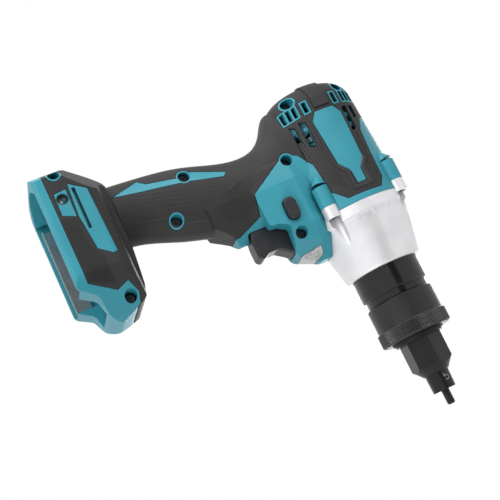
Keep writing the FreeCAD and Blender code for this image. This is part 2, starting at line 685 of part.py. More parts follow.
def box_between(low, high):
    """A box from its lowest to its highest corner."""
    size = [high[axis] - low[axis] for axis in range(3)]
    return Part.makeBox(size[0], size[1], size[2], Vector(*low))


def tube(outer, inner, front, rear):
    """A ring about the barrel axis between two places on it, given in the clamshell's frame."""
    ring = Part.makeCylinder(outer, front - rear, Vector(rear, 0, 0), Vector(1, 0, 0))
    if inner > 0:
        ring = ring.cut(Part.makeCylinder(inner, front - rear + 2, Vector(rear - 1, 0, 0), Vector(1, 0, 0)))
    return ring


def spun(shape, count, turn=0.0):
    """Copies of a shape evenly round the barrel axis."""
    copies = []
    for number in range(count):
        one = shape.copy()
        one.rotate(Vector(), Vector(1, 0, 0), turn + 360.0 * number / count)
        copies.append(one)
    return copies


AT_FLANGE = Placement(Vector(-flange, 0, 0), Rotation())


def make_stator():
    """The laminated core with six wound teeth."""
    front, rear = -S.stator_start, -S.stator_start - S.stator_length
    stator_bore = S.rotor_radius + S.air_gap
    yoke = tube(S.stator_radius, S.stator_radius - S.stator_yoke, front, rear)
    half = S.stator_tooth_width / 2
    tooth = box_between((rear, -half, stator_bore - 1), (front, half, S.stator_radius - 1))
    shoe = tube(stator_bore + 1.4, stator_bore, front, rear).common(
        box_between((rear, -half * 1.9, 0), (front, half * 1.9, S.stator_radius)))
    bore_tool = Part.makeCylinder(stator_bore, front - rear + 2, Vector(rear - 1, 0, 0), Vector(1, 0, 0))
    teeth = [one.cut(bore_tool) for one in spun(tooth.fuse(shoe), SLOTS)]
    keep("stator_core", yoke.fuse(teeth).removeSplitter(), AT_FLANGE)
    inner = stator_bore + 1.4 + 0.3
    outer = S.stator_radius - S.stator_yoke - 0.3
    wide = half + S.coil_thickness
    coil = box_between((rear - S.coil_overhang, -wide, inner), (front + S.coil_overhang, wide, outer))
    coil = coil.cut(box_between((rear - 0.2, -half, inner - 1), (front + 0.2, half, outer + 1)))
    coil = coil.common(tube(outer, 0, front + S.coil_overhang, rear - S.coil_overhang))
    keep("stator_coils", Part.makeCompound(spun(coil, SLOTS)), AT_FLANGE)


def make_rotor():
    """Shaft, laminated rotor, four magnets and the fan behind the stator."""
    turned("rotor_shaft", [
        (planets_1_front + S.running_gap, 0), (planets_1_front + S.running_gap, S.pinion_journal),
        (plate_rear, S.pinion_journal), (plate_rear, S.front_journal),
        (front_bearing_rear + 1, S.front_journal), (front_bearing_rear + 1, S.shaft_radius),
        (rear_bearing_front, S.shaft_radius), (rear_bearing_front, S.rear_journal),
        (rear_bearing_rear + 0.6, S.rear_journal), (rear_bearing_rear + 0.6, 0)])
    magnet_inner = S.rotor_radius - S.magnet_thickness
    turned("rotor_core", tube_profile(stator_front, stator_rear, magnet_inner, S.shaft_radius))
    front, rear = -S.stator_start, -S.stator_start - S.stator_length
    shell = tube(S.rotor_radius, magnet_inner, front, rear)
    spread = S.rotor_radius
    wedge = Part.Face(Part.makePolygon([
        Vector(rear, 0, 0), Vector(rear, -spread * 0.8, spread), Vector(rear, 0, spread * 2),
        Vector(rear, spread * 0.8, spread), Vector(rear, 0, 0)])).extrude(Vector(front - rear, 0, 0))
    keep("rotor_magnets", Part.makeCompound(spun(shell.common(wedge), POLES)), AT_FLANGE)
    fan_rear = -S.fan_start - S.fan_width
    plate = tube(S.fan_radius, S.shaft_radius, -S.fan_start, -S.fan_start - S.fan_blade)
    hub = tube(S.fan_hub, S.shaft_radius, -S.fan_start, fan_rear)
    blade = box_between((fan_rear, -S.fan_blade / 2, S.fan_hub - 1),
                        (-S.fan_start, S.fan_blade / 2, S.fan_radius - 0.5))
    keep("cooling_fan", plate.fuse([hub] + spun(blade, BLADES)).removeSplitter(), AT_FLANGE)


def make_motor_board():
    """The ring-shaped board with the position sensors, behind the windings."""
    turned("motor_sensor_board", tube_profile(
        board_front, board_front + S.board_thickness, S.stator_radius, S.shaft_radius + 4))


# Outer form of the clamshell, as forms that can be drawn in by a wall's thickness
def rounded_wire(corners, radius, to_space):
    """A closed outline whose corners are rounded by arcs that touch both sides."""
    count = len(corners)
    ends = []
    for index in range(count):
        point = Vector(*corners[index], 0)
        before = Vector(*corners[index - 1], 0) - point
        after = Vector(*corners[(index + 1) % count], 0) - point
        half = before.getAngle(after) / 2
        trim = min(radius / math.tan(half), 0.45 * min(before.Length, after.Length))
        reach = trim * math.tan(half)
        before.normalize()
        after.normalize()
        middle = point + (before + after).normalize() * (reach / math.sin(half) - reach)
        ends.append((point + before * trim, middle, point + after * trim))
    edges = []
    for index in range(count):
        start, middle, end = [to_space(point) for point in ends[index]]
        edges.append(Part.Arc(start, middle, end).toShape())
        edges.append(Part.LineSegment(end, to_space(ends[(index + 1) % count][0])).toShape())
    return Part.Wire(edges)


def drawn_in(corners, distance):
    """The same outline with every side moved inwards; corners are listed anticlockwise."""
    if distance == 0:
        return list(corners)
    count = len(corners)
    moved = []
    for index in range(count):
        start, end = Vector(*corners[index], 0), Vector(*corners[(index + 1) % count], 0)
        along = (end - start).normalize()
        inward = Vector(-along.y, along.x, 0) * distance
        moved.append((start + inward, along))
    result = []
    for index in range(count):
        point, along = moved[index - 1]
        other, heading = moved[index]
        cross = along.x * heading.y - along.y * heading.x
        if abs(cross) < 1e-6:
            result.append((other.x, other.y))
            continue
        gap = other - point
        reach = (gap.x * heading.y - gap.y * heading.x) / cross
        meet = point + along * reach
        result.append((meet.x, meet.y))
    return result


def side_slab(corners, radius, half):
    """A side view in (x, z) given depth on both sides of the middle plane."""
    wire = rounded_wire(corners, radius, lambda point: Vector(point.x, half, point.y))
    return Part.Face(wire).extrude(Vector(0, -2 * half, 0))


def front_slab(corners, radius, rear, front):
    """A front view in (y, z) given length along the barrel."""
    wire = rounded_wire(corners, radius, lambda point: Vector(rear, point.x, point.y))
    return Part.Face(wire).extrude(Vector(front - rear, 0, 0))


def plan_slab(corners, radius, low, high):
    """A plan in (x, y) given height."""
    wire = rounded_wire(corners, radius, lambda point: Vector(point.x, point.y, low))
    return Part.Face(wire).extrude(Vector(0, 0, high - low))


def mirrored(half_outline):
    """A front view or plan from its right-hand half, listed upwards."""
    return [(across, up) for across, up in half_outline] + [(-across, up) for across, up in half_outline[::-1]]


def grip_row(name):
    return [getattr(S, f"grip_{name}_{what}") for what in ("height", "rear", "front", "half")]


def grip_form(inset):
    """The grip: a loft through ovals from the foot up into the motor barrel."""
    wires = []
    for name in GRIP:
        height, rear, front, half = grip_row(name)
        wires.append(oval_wire(height, rear + inset, front - inset, half - inset))
    return Part.makeLoft(wires, True, False)


def oval_wire(height, rear, front, half):
    """A level oval, a little squarer than an ellipse."""
    count, power = 12, 2.4
    points = []
    for step in range(count):
        across, along = math.sin(2 * math.pi * step / count), math.cos(2 * math.pi * step / count)
        x = (rear + front) / 2 + (front - rear) / 2 * math.copysign(abs(along) ** (2 / power), along)
        y = half * math.copysign(abs(across) ** (2 / power), across)
        points.append(Vector(x, y, height))
    curve = Part.BSplineCurve()
    curve.interpolate(points, PeriodicFlag=True)
    return Part.Wire(curve.toShape())


def barrel_form(inset):
    """The motor barrel: a slight cone cut off by a leaning plane, with a large round between them."""
    spare = 20.0
    slope = (S.barrel_front_radius - S.barrel_rear_radius) / S.barrel_length
    cone = Part.makeCone(S.barrel_rear_radius - slope * spare - inset,
                         S.barrel_front_radius + slope * S.joint_lead - inset,
                         S.barrel_length + spare + S.joint_lead,
                         Vector(-S.barrel_length - spare, 0, 0), Vector(1, 0, 0))
    behind = Part.makeBox(100, 200, 200, Vector(-100, -100, -100))
    behind.rotate(Vector(), Vector(0, 1, 0), -S.barrel_rear_lean)
    lean = math.radians(S.barrel_rear_lean)
    behind.translate(Vector(-S.barrel_length + inset / math.cos(lean), 0, S.barrel_rear_height))
    form = cone.cut(behind)
    rear_edges = [edge for edge in form.Edges if edge.BoundBox.XMax < -S.barrel_length / 2
                  and edge.BoundBox.YLength > S.barrel_rear_radius]
    return form.makeFillet(S.barrel_rear_round - inset, rear_edges)


# Side outline of the part of the clamshell that holds trigger, lever and lamp, from the chin's nose round.
CHIN_FRONT, CHIN_TOP = 21.8, -21.0
CHIN_SIDE = [
    (CHIN_FRONT, CHIN_TOP), (-46.0, CHIN_TOP), (-46.0, -52.0), (-34.0, -62.0), (-7.4, -60.0), (-7.2, -55.0),
    (-4.0, -48.8), (12.5, -50.2), (16.2, -47.2), (CHIN_FRONT, -36.5),
]
# Right-hand halves of the chin's plan at four heights: it narrows downwards like a boat's bow.
CHIN_PLANS = {
    -64.0: [(-46.0, -16.0), (-30.0, -17.5), (-6.0, -16.0), (4.0, -11.0), (11.0, -7.0), (15.0, -3.0)],
    -44.0: [(-46.0, -19.0), (-30.0, -21.0), (-2.0, -20.5), (8.5, -15.5), (15.5, -9.0), (19.0, -3.5)],
    -34.0: [(-46.0, -20.0), (-30.0, -22.0), (0.0, -21.5), (11.5, -17.0), (17.5, -10.5), (22.5, -4.0)],
    -20.0: [(-46.0, -17.0), (-30.0, -19.0), (0.0, -17.0), (11.5, -14.0), (17.5, -9.5), (22.5, -4.0)],
}
# The guard below the trigger: its side view, and its plan, which is rounded like the grip.
GUARD_SIDE = [
    (-46.0, -50.0), (-34.0, -92.0), (-19.5, -91.0), (-15.6, -85.5), (-11.6, -81.2), (-6.4, -78.8),
    (-5.0, -76.4), (-7.6, -66.0), (-7.2, -55.0), (-6.0, -50.0),
]
GUARD_PLAN = [
    (-46.0, -17.5), (-32.0, -17.0), (-23.0, -15.2), (-16.0, -12.2), (-11.5, -8.7), (-8.0, -5.2), (-6.0, -2.2),
]

# The foot's side view, and the right-hand half of its front view, listed upwards.
foot_side_half = float(S.foot_half_width)
foot_low = float(S.foot_bottom)
FOOT_SIDE = [
    (-89.0, foot_low), (-11.0, foot_low), (-4.6, -174.4), (6.4, -171.6), (12.0, -166.0), (8.8, -157.0),
    (5.2, -148.2), (-4.0, -144.8), (-28.0, -142.0), (-74.0, -142.0), (-80.5, -149.0), (-89.0, -164.5),
]
FOOT_FRONT = [
    (foot_side_half, foot_low - 2.0), (foot_side_half, -155.5), (33.5, -149.5), (19.0, -146.2), (16.4, -141.5),
]
# Three points of the slanted face at the foot's rear, where its side runs up to the grip.
FOOT_REAR_FACE = ((-62.0, -foot_side_half, -152.0), (-78.5, -foot_side_half, -168.5), (-80.0, -10.0, -149.0))


def chin_form(inset):
    """The clamshell below the casting: a side view cut out of a form that narrows downwards."""
    wires = []
    for height, plan in CHIN_PLANS.items():
        corners = drawn_in(mirrored_plan(plan), inset)
        wires.append(rounded_wire(corners, 5.0, lambda point, height=height: Vector(point.x, point.y, height)))
    body = Part.makeLoft(wires, True, True)
    return body.common(side_slab(drawn_in(CHIN_SIDE, inset), 3.5, 40.0))


def guard_form(inset):
    """The guard below the trigger: side view and plan cut out of each other."""
    form = side_slab(drawn_in(GUARD_SIDE, inset), 3.0, 30.0)
    return form.common(plan_slab(drawn_in(mirrored_plan(GUARD_PLAN), inset), 5.0, -95.0, -45.0))


def mirrored_plan(right_side):
    """A plan from its right-hand side, listed forwards and closed anticlockwise."""
    left_side = [(along, -across) for along, across in reversed(right_side)]
    return list(right_side) + left_side


def beyond(first, second, third, inset):
    """Everything outside the plane through three points, moved inwards; the plane faces up and back."""
    base, other, last = [Vector(*point) for point in (first, second, third)]
    normal = (other - base).cross(last - base).normalize()
    if normal.z < 0:
        normal = -normal
    side = 160.0
    block = Part.makeBox(side, side, side / 2, Vector(-side / 2, -side / 2, 0))
    block.Placement = Placement(base - normal * inset, Rotation(Vector(0, 0, 1), normal))
    return block


def foot_plan(inset):
    """The foot seen from above: straight sides, a slightly bowed rear and a round front."""
    half = S.foot_half_width - inset
    rear, front = FOOT_SIDE[0][0] + inset, 14.0 - inset
    rear_corner, front_corner = -79.0 + inset, -18.0
    edges = [
        Part.Arc(Vector(rear_corner, half, -190), Vector(rear, 0, -190), Vector(rear_corner, -half, -190)),
        Part.LineSegment(Vector(rear_corner, -half, -190), Vector(front_corner, -half, -190)),
        Part.Arc(Vector(front_corner, -half, -190), Vector(front, 0, -190), Vector(front_corner, half, -190)),
        Part.LineSegment(Vector(front_corner, half, -190), Vector(rear_corner, half, -190)),
    ]
    face = Part.Face(Part.Wire([edge.toShape() for edge in edges]))
    return face.extrude(Vector(0, 0, 60))


def foot_form(inset):
    """The foot that takes the battery: side view, front view and plan cut out of each other."""
    form = side_slab(drawn_in(FOOT_SIDE, inset), 5.0, 45.0)
    form = form.common(front_slab(drawn_in(mirrored(FOOT_FRONT), inset), 6.0, -100.0, 30.0))
    slant = beyond(*FOOT_REAR_FACE, inset)
    return form.common(foot_plan(inset)).cut([slant, over_the_middle(slant)])


def upper_forms(inset):
    """Barrel, grip, chin and guard, down to the seam above the foot."""
    return [barrel_form(inset), grip_form(inset), chin_form(inset), guard_form(inset)]


# Soft covers: where the black rubber lies, and the windows in it that show the nylon.
# Outlines are in the clamshell's (x, z), listed anticlockwise.
SEAM = -142.0
NOSE_WINDOW = [
    (-44.5, -30.5), (-43.1, -38.5), (-29.7, -60.6), (-16.6, -62.0), (-13.5, -70.0), (-10.5, -77.5),
    (-9.0, -100.0), (40.0, -100.0), (40.0, 60.0), (-62.0, 60.0), (-50.0, 22.4), (-41.4, 17.5),
    (-26.0, 15.8), (-8.1, 14.8), (-2.0, 10.6), (-2.5, -12.2), (-10.7, -19.0), (-31.7, -20.5), (-41.5, -25.7),
]
BOTTLE_WINDOW = [
    (-61.5, -6.2), (-56.2, -9.9), (-23.6, -8.2), (-17.3, -3.1), (-9.0, -2.9), (-9.0, 2.9),
    (-17.3, 3.1), (-23.6, 8.2), (-56.2, 9.9), (-61.5, 6.2),
]
STRIPE_WINDOW = [
    (-60.9, -140.5), (-59.1, -130.0), (-52.7, -93.4), (-48.2, -72.5), (-50.6, -69.9),
    (-58.6, -90.0), (-59.2, -94.5), (-57.6, -99.9), (-61.5, -118.3), (-65.6, -122.9),
]
FOOT_COVER = [
    (-95.0, -178.2), (-12.0, -177.6), (-3.3, -162.9), (-6.2, -155.6), (1.2, -151.6), (6.5, -152.5),
    (9.8, -158.5), (20.0, -161.0), (20.0, -130.0), (-95.0, -130.0),
]
PATCH_WINDOW = [
    (-70.8, -165.7), (-50.3, -166.9), (-28.7, -164.6), (-23.1, -157.2), (-23.7, -154.5), (-64.3, -156.1),
]
HOOK_WINDOW = [(-67.3, -175.2), (-53.9, -175.4), (-50.7, -168.0), (-68.2, -167.8)]
HOOK_PLACE, HOOK_HEIGHT = -63.2, -171.6
PATCH_SLOT = rectangle(-67.6, -41.4, -164.5, -162.6)
TALL_VENTS = [
    [(-60.3, -22.9), (-49.5, -22.9), (-47.0, -19.9), (-57.8, -19.9)],
    [(-60.0, -17.5), (-42.5, -17.5), (-40.5, -13.6), (-58.2, -13.6)],
]
UPPER_VENTS = [
    [(-59.5, 12.0), (-41.5, 11.4), (-43.2, 15.0), (-59.5, 15.6)],
    [(-59.5, 17.6), (-49.5, 17.6), (-51.8, 20.2), (-59.5, 20.6)],
]
REAR_VENTS = [rectangle(-70.6, -63.2, low, low + 2.3) for low in (-24.3, -21.0, -17.7)]
REAR_VENTS.append(rectangle(-70.4, -63.2, -11.4, -8.6))
RIMS = [rectangle(-71.6, -62.2, -25.3, -14.4), rectangle(-71.4, -62.2, -12.4, -7.6)]


def screw_row(name):
    return [getattr(S, f"screw_{name}_{what}") for what in ("place", "height", "seat")]


def right_prism(corners, deep=60.0):
    """A side outline given depth from the middle plane to the tool's right."""
    wire = Part.makePolygon([Vector(x, 0, z) for x, z in corners] + [Vector(corners[0][0], 0, corners[0][1])])
    return Part.Face(wire).extrude(Vector(0, -deep, 0))


def upside_down(corners):
    """The same outline on the other side of the barrel's axis."""
    return [(x, -z) for x, z in corners[::-1]]


def crosswise(radius, x, z, near, far):
    """A cylinder across the tool between two depths to its right."""
    return Part.makeCylinder(radius, far - near, Vector(x, -near, z), Vector(0, -1, 0))


def grip_black(gap):
    """The space that holds the grip's rubber: all but the windows, less the groove round each."""
    outlines = [NOSE_WINDOW, BOTTLE_WINDOW, STRIPE_WINDOW] + RIMS + [upside_down(rim) for rim in RIMS]
    windows = [right_prism(drawn_in(outline, -gap)) for outline in outlines]
    place, height = screw_row("shoulder")[:2]
    windows.append(crosswise(S.boss_radius + gap, place, height, 0, 60))
    return Part.makeBox(140, 60, 220, Vector(-100, -60, SEAM + gap)).cut(windows)


def foot_black(gap):
    """The space that holds the foot's rubber, with its windows for the patch, the hook and the screws."""
    windows = [right_prism(drawn_in(one, -gap)) for one in (PATCH_WINDOW, HOOK_WINDOW)]
    for name in ("foot_front", "foot_rear"):
        place, height = screw_row(name)[:2]
        windows.append(crosswise(S.boss_radius + gap, place, height, 0, 60))
    return right_prism(drawn_in(FOOT_COVER, gap)).cut(windows)


def vents():
    """Openings through cover and wall, above and below the barrel's axis."""
    outlines = TALL_VENTS + UPPER_VENTS + REAR_VENTS + [upside_down(one) for one in REAR_VENTS]
    return [right_prism(outline) for outline in outlines]


def make_clamshell():
    """Both halves of the nylon clamshell and the rubber moulded over them."""
    half_space = Part.makeBox(140, 60, 260, Vector(-100, -60, -200))
    grip = grip_form(0.0)
    upper = barrel_form(0.0).fuse([grip, chin_form(0.0), guard_form(0.0)]).common(half_space)
    foot = foot_form(0.0).common(half_space)
    skin = upper.cut(upper_forms(S.cover_thickness))
    foot_skin = foot.cut([foot_form(S.cover_thickness), grip])
    trims = casting_room() + [trigger_room(), lever_room(), lens_form(S.lever_gap / 2)]
    rooms = [skin.common(grip_black(0.0)), foot_skin.common(foot_black(0.0))]
    solid = upper.fuse([foot] + lug_bosses())
    shell = solid.cut(rooms + upper_forms(S.wall) + trims + foot_rooms() + vents()).fuse(inner_ribs())
    posts = Part.makeCompound(screw_posts()).common(solid).cut(trims)
    seats = lug_pilot_holes() + [rear_bearing_room()]
    right = shell.fuse(posts.Solids).cut(screw_holes() + seats)
    left = shell.fuse(posts.cut(rooms).Solids).cut(pilot_holes() + seats)
    thin_skin = upper.cut(upper_forms(S.cover_thickness - S.cover_fit))
    grip_cover = thin_skin.common(grip_black(S.cover_gap)).cut(trims + vents()).fuse(spine())
    thin_foot_skin = foot.cut(foot_form(S.cover_thickness - S.cover_fit))
    foot_cover = thin_foot_skin.common(foot_black(S.cover_gap)).cut(grip_form(-S.cover_gap))
    bosses = [crosswise(S.boss_radius + S.cover_gap, *screw_row(name)[:2], 0, 60) for name in SCREWS]
    keep("housing_right", largest(right), AT_FLANGE)
    keep("housing_left", over_the_middle(largest(left)), AT_FLANGE)
    keep("grip_cover_right", largest(grip_cover.cut(bosses)), AT_FLANGE)
    keep("grip_cover_left", over_the_middle(largest(grip_cover)), AT_FLANGE)
    keep("foot_cover_right", largest(foot_cover), AT_FLANGE)
    keep("foot_cover_left", over_the_middle(largest(foot_cover)), AT_FLANGE)


def spine():
    """The raised band of rubber along the middle of the barrel's rear."""
    half = S.spine_half_width
    front = BOTTLE_WINDOW[0][0] - 2.4
    band = right_prism([(-100.0, -half), (front, -half * 0.8), (front, half * 0.8), (-100.0, half)])
    return barrel_form(-S.spine_height).cut(barrel_form(S.cover_thickness / 2)).common(band)


def lug_pilot_holes():
    """Holes in the bosses that the gear housing's screws bite into."""
    depth = S.lug_screw_length
    hole = Part.makeCylinder(S.lug_screw_radius, depth, Vector(-depth, 0, lug_circle), Vector(1, 0, 0))
    return spun(hole, 4, 45)


def over_the_middle(shape):
    """The same shape on the tool's other side."""
    return shape.mirror(Vector(), Vector(0, 1, 0))


def largest(shape):
    """The main solid of a shape, without slivers."""
    return max(shape.Solids, key=lambda solid: solid.Volume)


def casting_room():
    """Room for the casting above the chin, with its fit, and for the two lugs of one half."""
    fit = float(S.casting_fit)
    outside = [Vector(flange - station, 0, radius + fit) for station, radius in casting_profile()]
    rear, front = outside[-1].x, outside[0].x
    outline = [Vector(front, 0, 0)] + outside + [Vector(rear, 0, 0), Vector(front, 0, 0)]
    drum = Part.Face(Part.makePolygon(outline)).revolve(Vector(), Vector(1, 0, 0), 360)
    lug = Part.makeCylinder(S.lug_radius + fit, S.lug_front + S.lug_rear,
                            Vector(-S.lug_rear, 0, lug_circle), Vector(1, 0, 0))
    lugs = []
    for turn in (45, 135):
        one = lug.copy()
        one.rotate(Vector(), Vector(1, 0, 0), turn)
        lugs.append(one)
    return [drum] + lugs


def lug_bosses():
    """The bosses behind the lugs, which run out along the barrel in a taper."""
    bosses = []
    long, taper = S.lug_screw_length - 2, 9.0
    for turn in (45, 135):
        boss = Part.makeCylinder(S.lug_radius + 0.1, long, Vector(-long, 0, lug_circle), Vector(1, 0, 0))
        tail = Part.makeCone(1.2, S.lug_radius + 0.1, taper, Vector(-long - taper, 0, lug_circle - 3.5),
                             Vector(1, 0, 0.35))
        one = boss.fuse(tail)
        one.rotate(Vector(), Vector(1, 0, 0), turn)
        bosses.append(one)
    return bosses


def barrel_wall_radius(place):
    """Radius of the middle of the barrel's wall at a place on its axis."""
    slope = (S.barrel_front_radius - S.barrel_rear_radius) / S.barrel_length
    return S.barrel_front_radius + slope * place - S.wall * 0.75


def inner_ribs():
    """Rings that hold the stator and the sensor board, the rear bearing's spider, and the switch's ledges."""
    ribs = []
    front, rear = -S.stator_start, -S.stator_start - S.stator_length
    board = -(board_front - flange)
    for start, end in ((front, front - 3), (rear + 3, rear), (board + 0.6, board - S.board_thickness - 0.6)):
        ribs.append(tube(barrel_wall_radius(end), S.stator_radius, start, end))
    hub_front = -S.rear_bearing_start + 0.2
    hub_rear = hub_front - S.rear_bearing_width - 1.2
    hub = S.rear_bearing_radius + 3.0
    ribs.append(tube(hub, S.rear_journal + 1.2, hub_front, hub_rear))
    reach = barrel_wall_radius(hub_rear) - 0.7
    for low, high in (((hub_rear, -2.5, hub - 1), (hub_rear + 2.5, 2.5, reach)),
                      ((hub_rear, -2.5, -reach), (hub_rear + 2.5, 2.5, 1 - hub)),
                      ((hub_rear, -reach, -2.5), (hub_rear + 2.5, 1 - hub, 2.5))):
        ribs.append(box_between(low, high))
    within_wall = grip_form(S.wall * 0.75)
    for height in (S.switch_top - 5, S.switch_bottom + 5):
        ledge = box_between((S.switch_rear + 1, -S.grip_neck_half, height - S.rib / 2),
                            (S.switch_front - 1, -S.switch_half_width, height + S.rib / 2))
        ribs.append(ledge.common(within_wall))
    right = Part.makeBox(200, 60, 200, Vector(-100, -60, -100))
    return [rib.common(right) for rib in ribs]


def rear_bearing_room():
    """The seat of the rear bearing, open to the front."""
    return Part.makeCylinder(S.rear_bearing_radius, S.rear_bearing_width + 1,
                             Vector(-S.rear_bearing_start - S.rear_bearing_width, 0, 0), Vector(1, 0, 0))


def screw_posts():
    """Posts that join the halves, from the middle plane outwards."""
    return [crosswise(S.boss_radius, *screw_row(name)[:2], 0, 45) for name in SCREWS]


def screw_holes():
    """Sunk holes for the heads and clear holes for the shanks, in the right half."""
    holes = []
    for name in SCREWS:
        place, height, seat = screw_row(name)
        holes.append(crosswise(S.screw_hole_radius, place, height, seat, 60))
        holes.append(crosswise(S.screw_radius_thread + 0.1, place, height, -1, seat + 1))
    return holes


def pilot_holes():
    """Holes that the screws' threads bite into, in the left half."""
    holes = []
    for name in SCREWS:
        place, height, seat = screw_row(name)
        depth = S.screw_length - (seat - S.screw_head_length) + 1
        holes.append(crosswise(S.screw_radius_thread, place, height, -1, max(depth, 4.0)))
    return holes


def make_housing_screws():
    """Pan-head screws that join the halves from the right."""
    screws = []
    for name in SCREWS:
        place, height, seat = screw_row(name)
        screw = screw_shape(S.screw_head_radius, S.screw_head_length, S.screw_radius_thread,
                            S.screw_length, 1.5)
        screw.rotate(Vector(), Vector(0, 0, 1), 90)
        screw.translate(Vector(place, -seat - S.screw_head_length, height))
        screws.append(screw)
    return keep("housing_screws", Part.makeCompound(screws), AT_FLANGE)


# Trigger, direction lever, switch and lamp
TRIGGER_SIDE = [
    (13.0, -47.8), (-3.0, -47.4), (-12.5, -49.0), (-12.5, -71.0), (-3.5, -72.2), (5.2, -72.2), (7.6, -69.4),
    (4.8, -64.5), (4.8, -59.0), (9.0, -53.0),
]
LENS_SIDE = [(13.8, -35.2), (15.0, -48.0), (18.2, -46.0), (20.6, -38.4), (18.4, -34.2)]


def softened(form, radius):
    """The same slab with rounds along the edges of its two flat sides."""
    return form.makeFillet(float(radius), [edge for edge in form.Edges if edge.BoundBox.YLength < 0.01])


def trigger_form(grow):
    """The trigger's side view given its width, with rounded edges to the finger."""
    side = drawn_in(TRIGGER_SIDE, -grow)
    return softened(side_slab(side, 2.6, S.trigger_half_width + grow), S.trigger_round)


def make_trigger():
    """The trigger with its plunger into the switch."""
    plunger = Part.makeCylinder(S.plunger_radius, 12.0 - 0.5 + (-S.switch_front - 22.0),
                                Vector(S.switch_front - 1.5, 0, S.plunger_height), Vector(1, 0, 0))
    return keep("trigger", trigger_form(0.0).fuse(plunger), AT_FLANGE)


def trigger_room():
    """Room for the trigger over its travel."""
    gap = float(S.trigger_gap)
    room = trigger_form(gap)
    moved = room.copy()
    moved.translate(Vector(-S.trigger_travel / 2, 0, 0))
    further = room.copy()
    further.translate(Vector(-S.trigger_travel, 0, 0))
    plunger = Part.makeCylinder(S.plunger_radius + gap, 20, Vector(S.switch_front - 2, 0, S.plunger_height),
                                Vector(1, 0, 0))
    return room.fuse([moved, further, plunger])


def lever_form(grow, half_span, scale=1.0):
    """A bar of oval section across the tool."""
    length = S.lever_half_length * scale + grow
    height = S.lever_half_height * scale + grow
    corners = rectangle(S.lever_place - length, S.lever_place + length,
                        S.lever_height - height, S.lever_height + height)
    return side_slab(corners, height * 0.95, half_span)


def make_direction_lever():
    """The push-through direction lever: two oval buttons on a thinner bar."""
    bar = lever_form(0.0, S.lever_half_span - 1.0, S.lever_core)
    ends = softened(lever_form(0.0, S.lever_half_span), S.lever_round).cut(
        Part.makeBox(60, 24, 60, Vector(S.lever_place - 30, -12, S.lever_height - 30)))
    return keep("direction_lever", bar.fuse(ends.Solids).removeSplitter(), AT_FLANGE)


def lever_room():
    return lever_form(float(S.lever_gap), 60.0)


def make_switch():
    """The switch body with the bore that takes the trigger's plunger."""
    half = S.switch_half_width
    body = box_between((S.switch_rear, -half, S.switch_bottom), (S.switch_front, half, S.switch_top))
    hole = Part.makeCylinder(S.plunger_radius + 0.3, S.trigger_travel + 4,
                             Vector(S.switch_front + 1, 0, S.plunger_height), Vector(-1, 0, 0))
    return keep("switch_body", body.cut(hole), AT_FLANGE)


def lens_form(grow):
    side = drawn_in(LENS_SIDE, -grow)
    return side_slab(side, 0.8, 24.0)


def make_lamp():
    """The lamp's clear lens in the chin, trimmed to the chin's form, and its small board."""
    lens = lens_form(0.0).common(chin_form(0.3))
    keep("lamp_lens", largest(lens), AT_FLANGE)
    board = box_between((11.4, -7.0, -46.0), (12.9, 7.0, -37.0))
    keep("lamp_board", board, AT_FLANGE)


# Foot: battery bay, rails, terminals and electronics
CHAMBER = ((-74.0, -31.0, -160.8), (-6.0, 31.0, -147.5))
TERMINAL_FRONT, TERMINAL_REAR, TERMINAL_HALF = -28.0, -62.0, 13.0


def foot_rooms():
    """The battery bay open below, the chamber for the electronics and the hole for the terminal block."""
    inner = S.foot_half_width - S.foot_wall
    bay = box_between((S.bay_rear, -inner, S.foot_bottom - 5), (S.bay_front, inner, S.bay_roof))
    chamber = box_between(*CHAMBER).common(foot_form(float(S.wall)))
    opening = box_between((TERMINAL_REAR - 0.1, -TERMINAL_HALF - 0.1, S.bay_roof - 1),
                          (TERMINAL_FRONT + 0.1, TERMINAL_HALF + 0.1, -155.0))
    rim_room = foot_plan(float(S.foot_wall) + 1.0).common(
        box_between((-100.0, -inner, S.foot_bottom - 5), (S.bay_rear + 1, inner, S.foot_bottom + 7.5)))
    latch = box_between((S.bay_front - 2, -17.0, S.foot_bottom - 5), (4.0, 17.0, S.bay_roof - 4))
    slot = right_prism(PATCH_SLOT).common(box_between((-100, -60, -200), (30, -S.foot_half_width + 2.6, -100)))
    hook = crosswise(S.hook_insert_radius, HOOK_PLACE, HOOK_HEIGHT, inner - 1, 60)
    return [bay, rim_room, chamber, opening, latch, slot, hook]


def make_battery_rails():
    """Two steel angles along the bay: a leg on the wall and a lip under the battery's rail."""
    wall = S.foot_half_width - S.foot_wall
    rear = S.bay_front - 1 - S.rail_length
    rails = []
    for side in (-1, 1):
        leg = box_between((rear, wall - S.rail_sheet, S.foot_bottom + 2), (S.bay_front - 1, wall,
                          S.foot_bottom + 2 + S.rail_height))
        lip = box_between((rear, wall - S.rail_lip, S.foot_bottom + 2), (S.bay_front - 1, wall,
                          S.foot_bottom + 2 + S.rail_sheet))
        rail = leg.fuse(lip).removeSplitter()
        rails.append(rail if side > 0 else rail.mirror(Vector(), Vector(0, 1, 0)))
    return keep("battery_rails", Part.makeCompound(rails), AT_FLANGE)


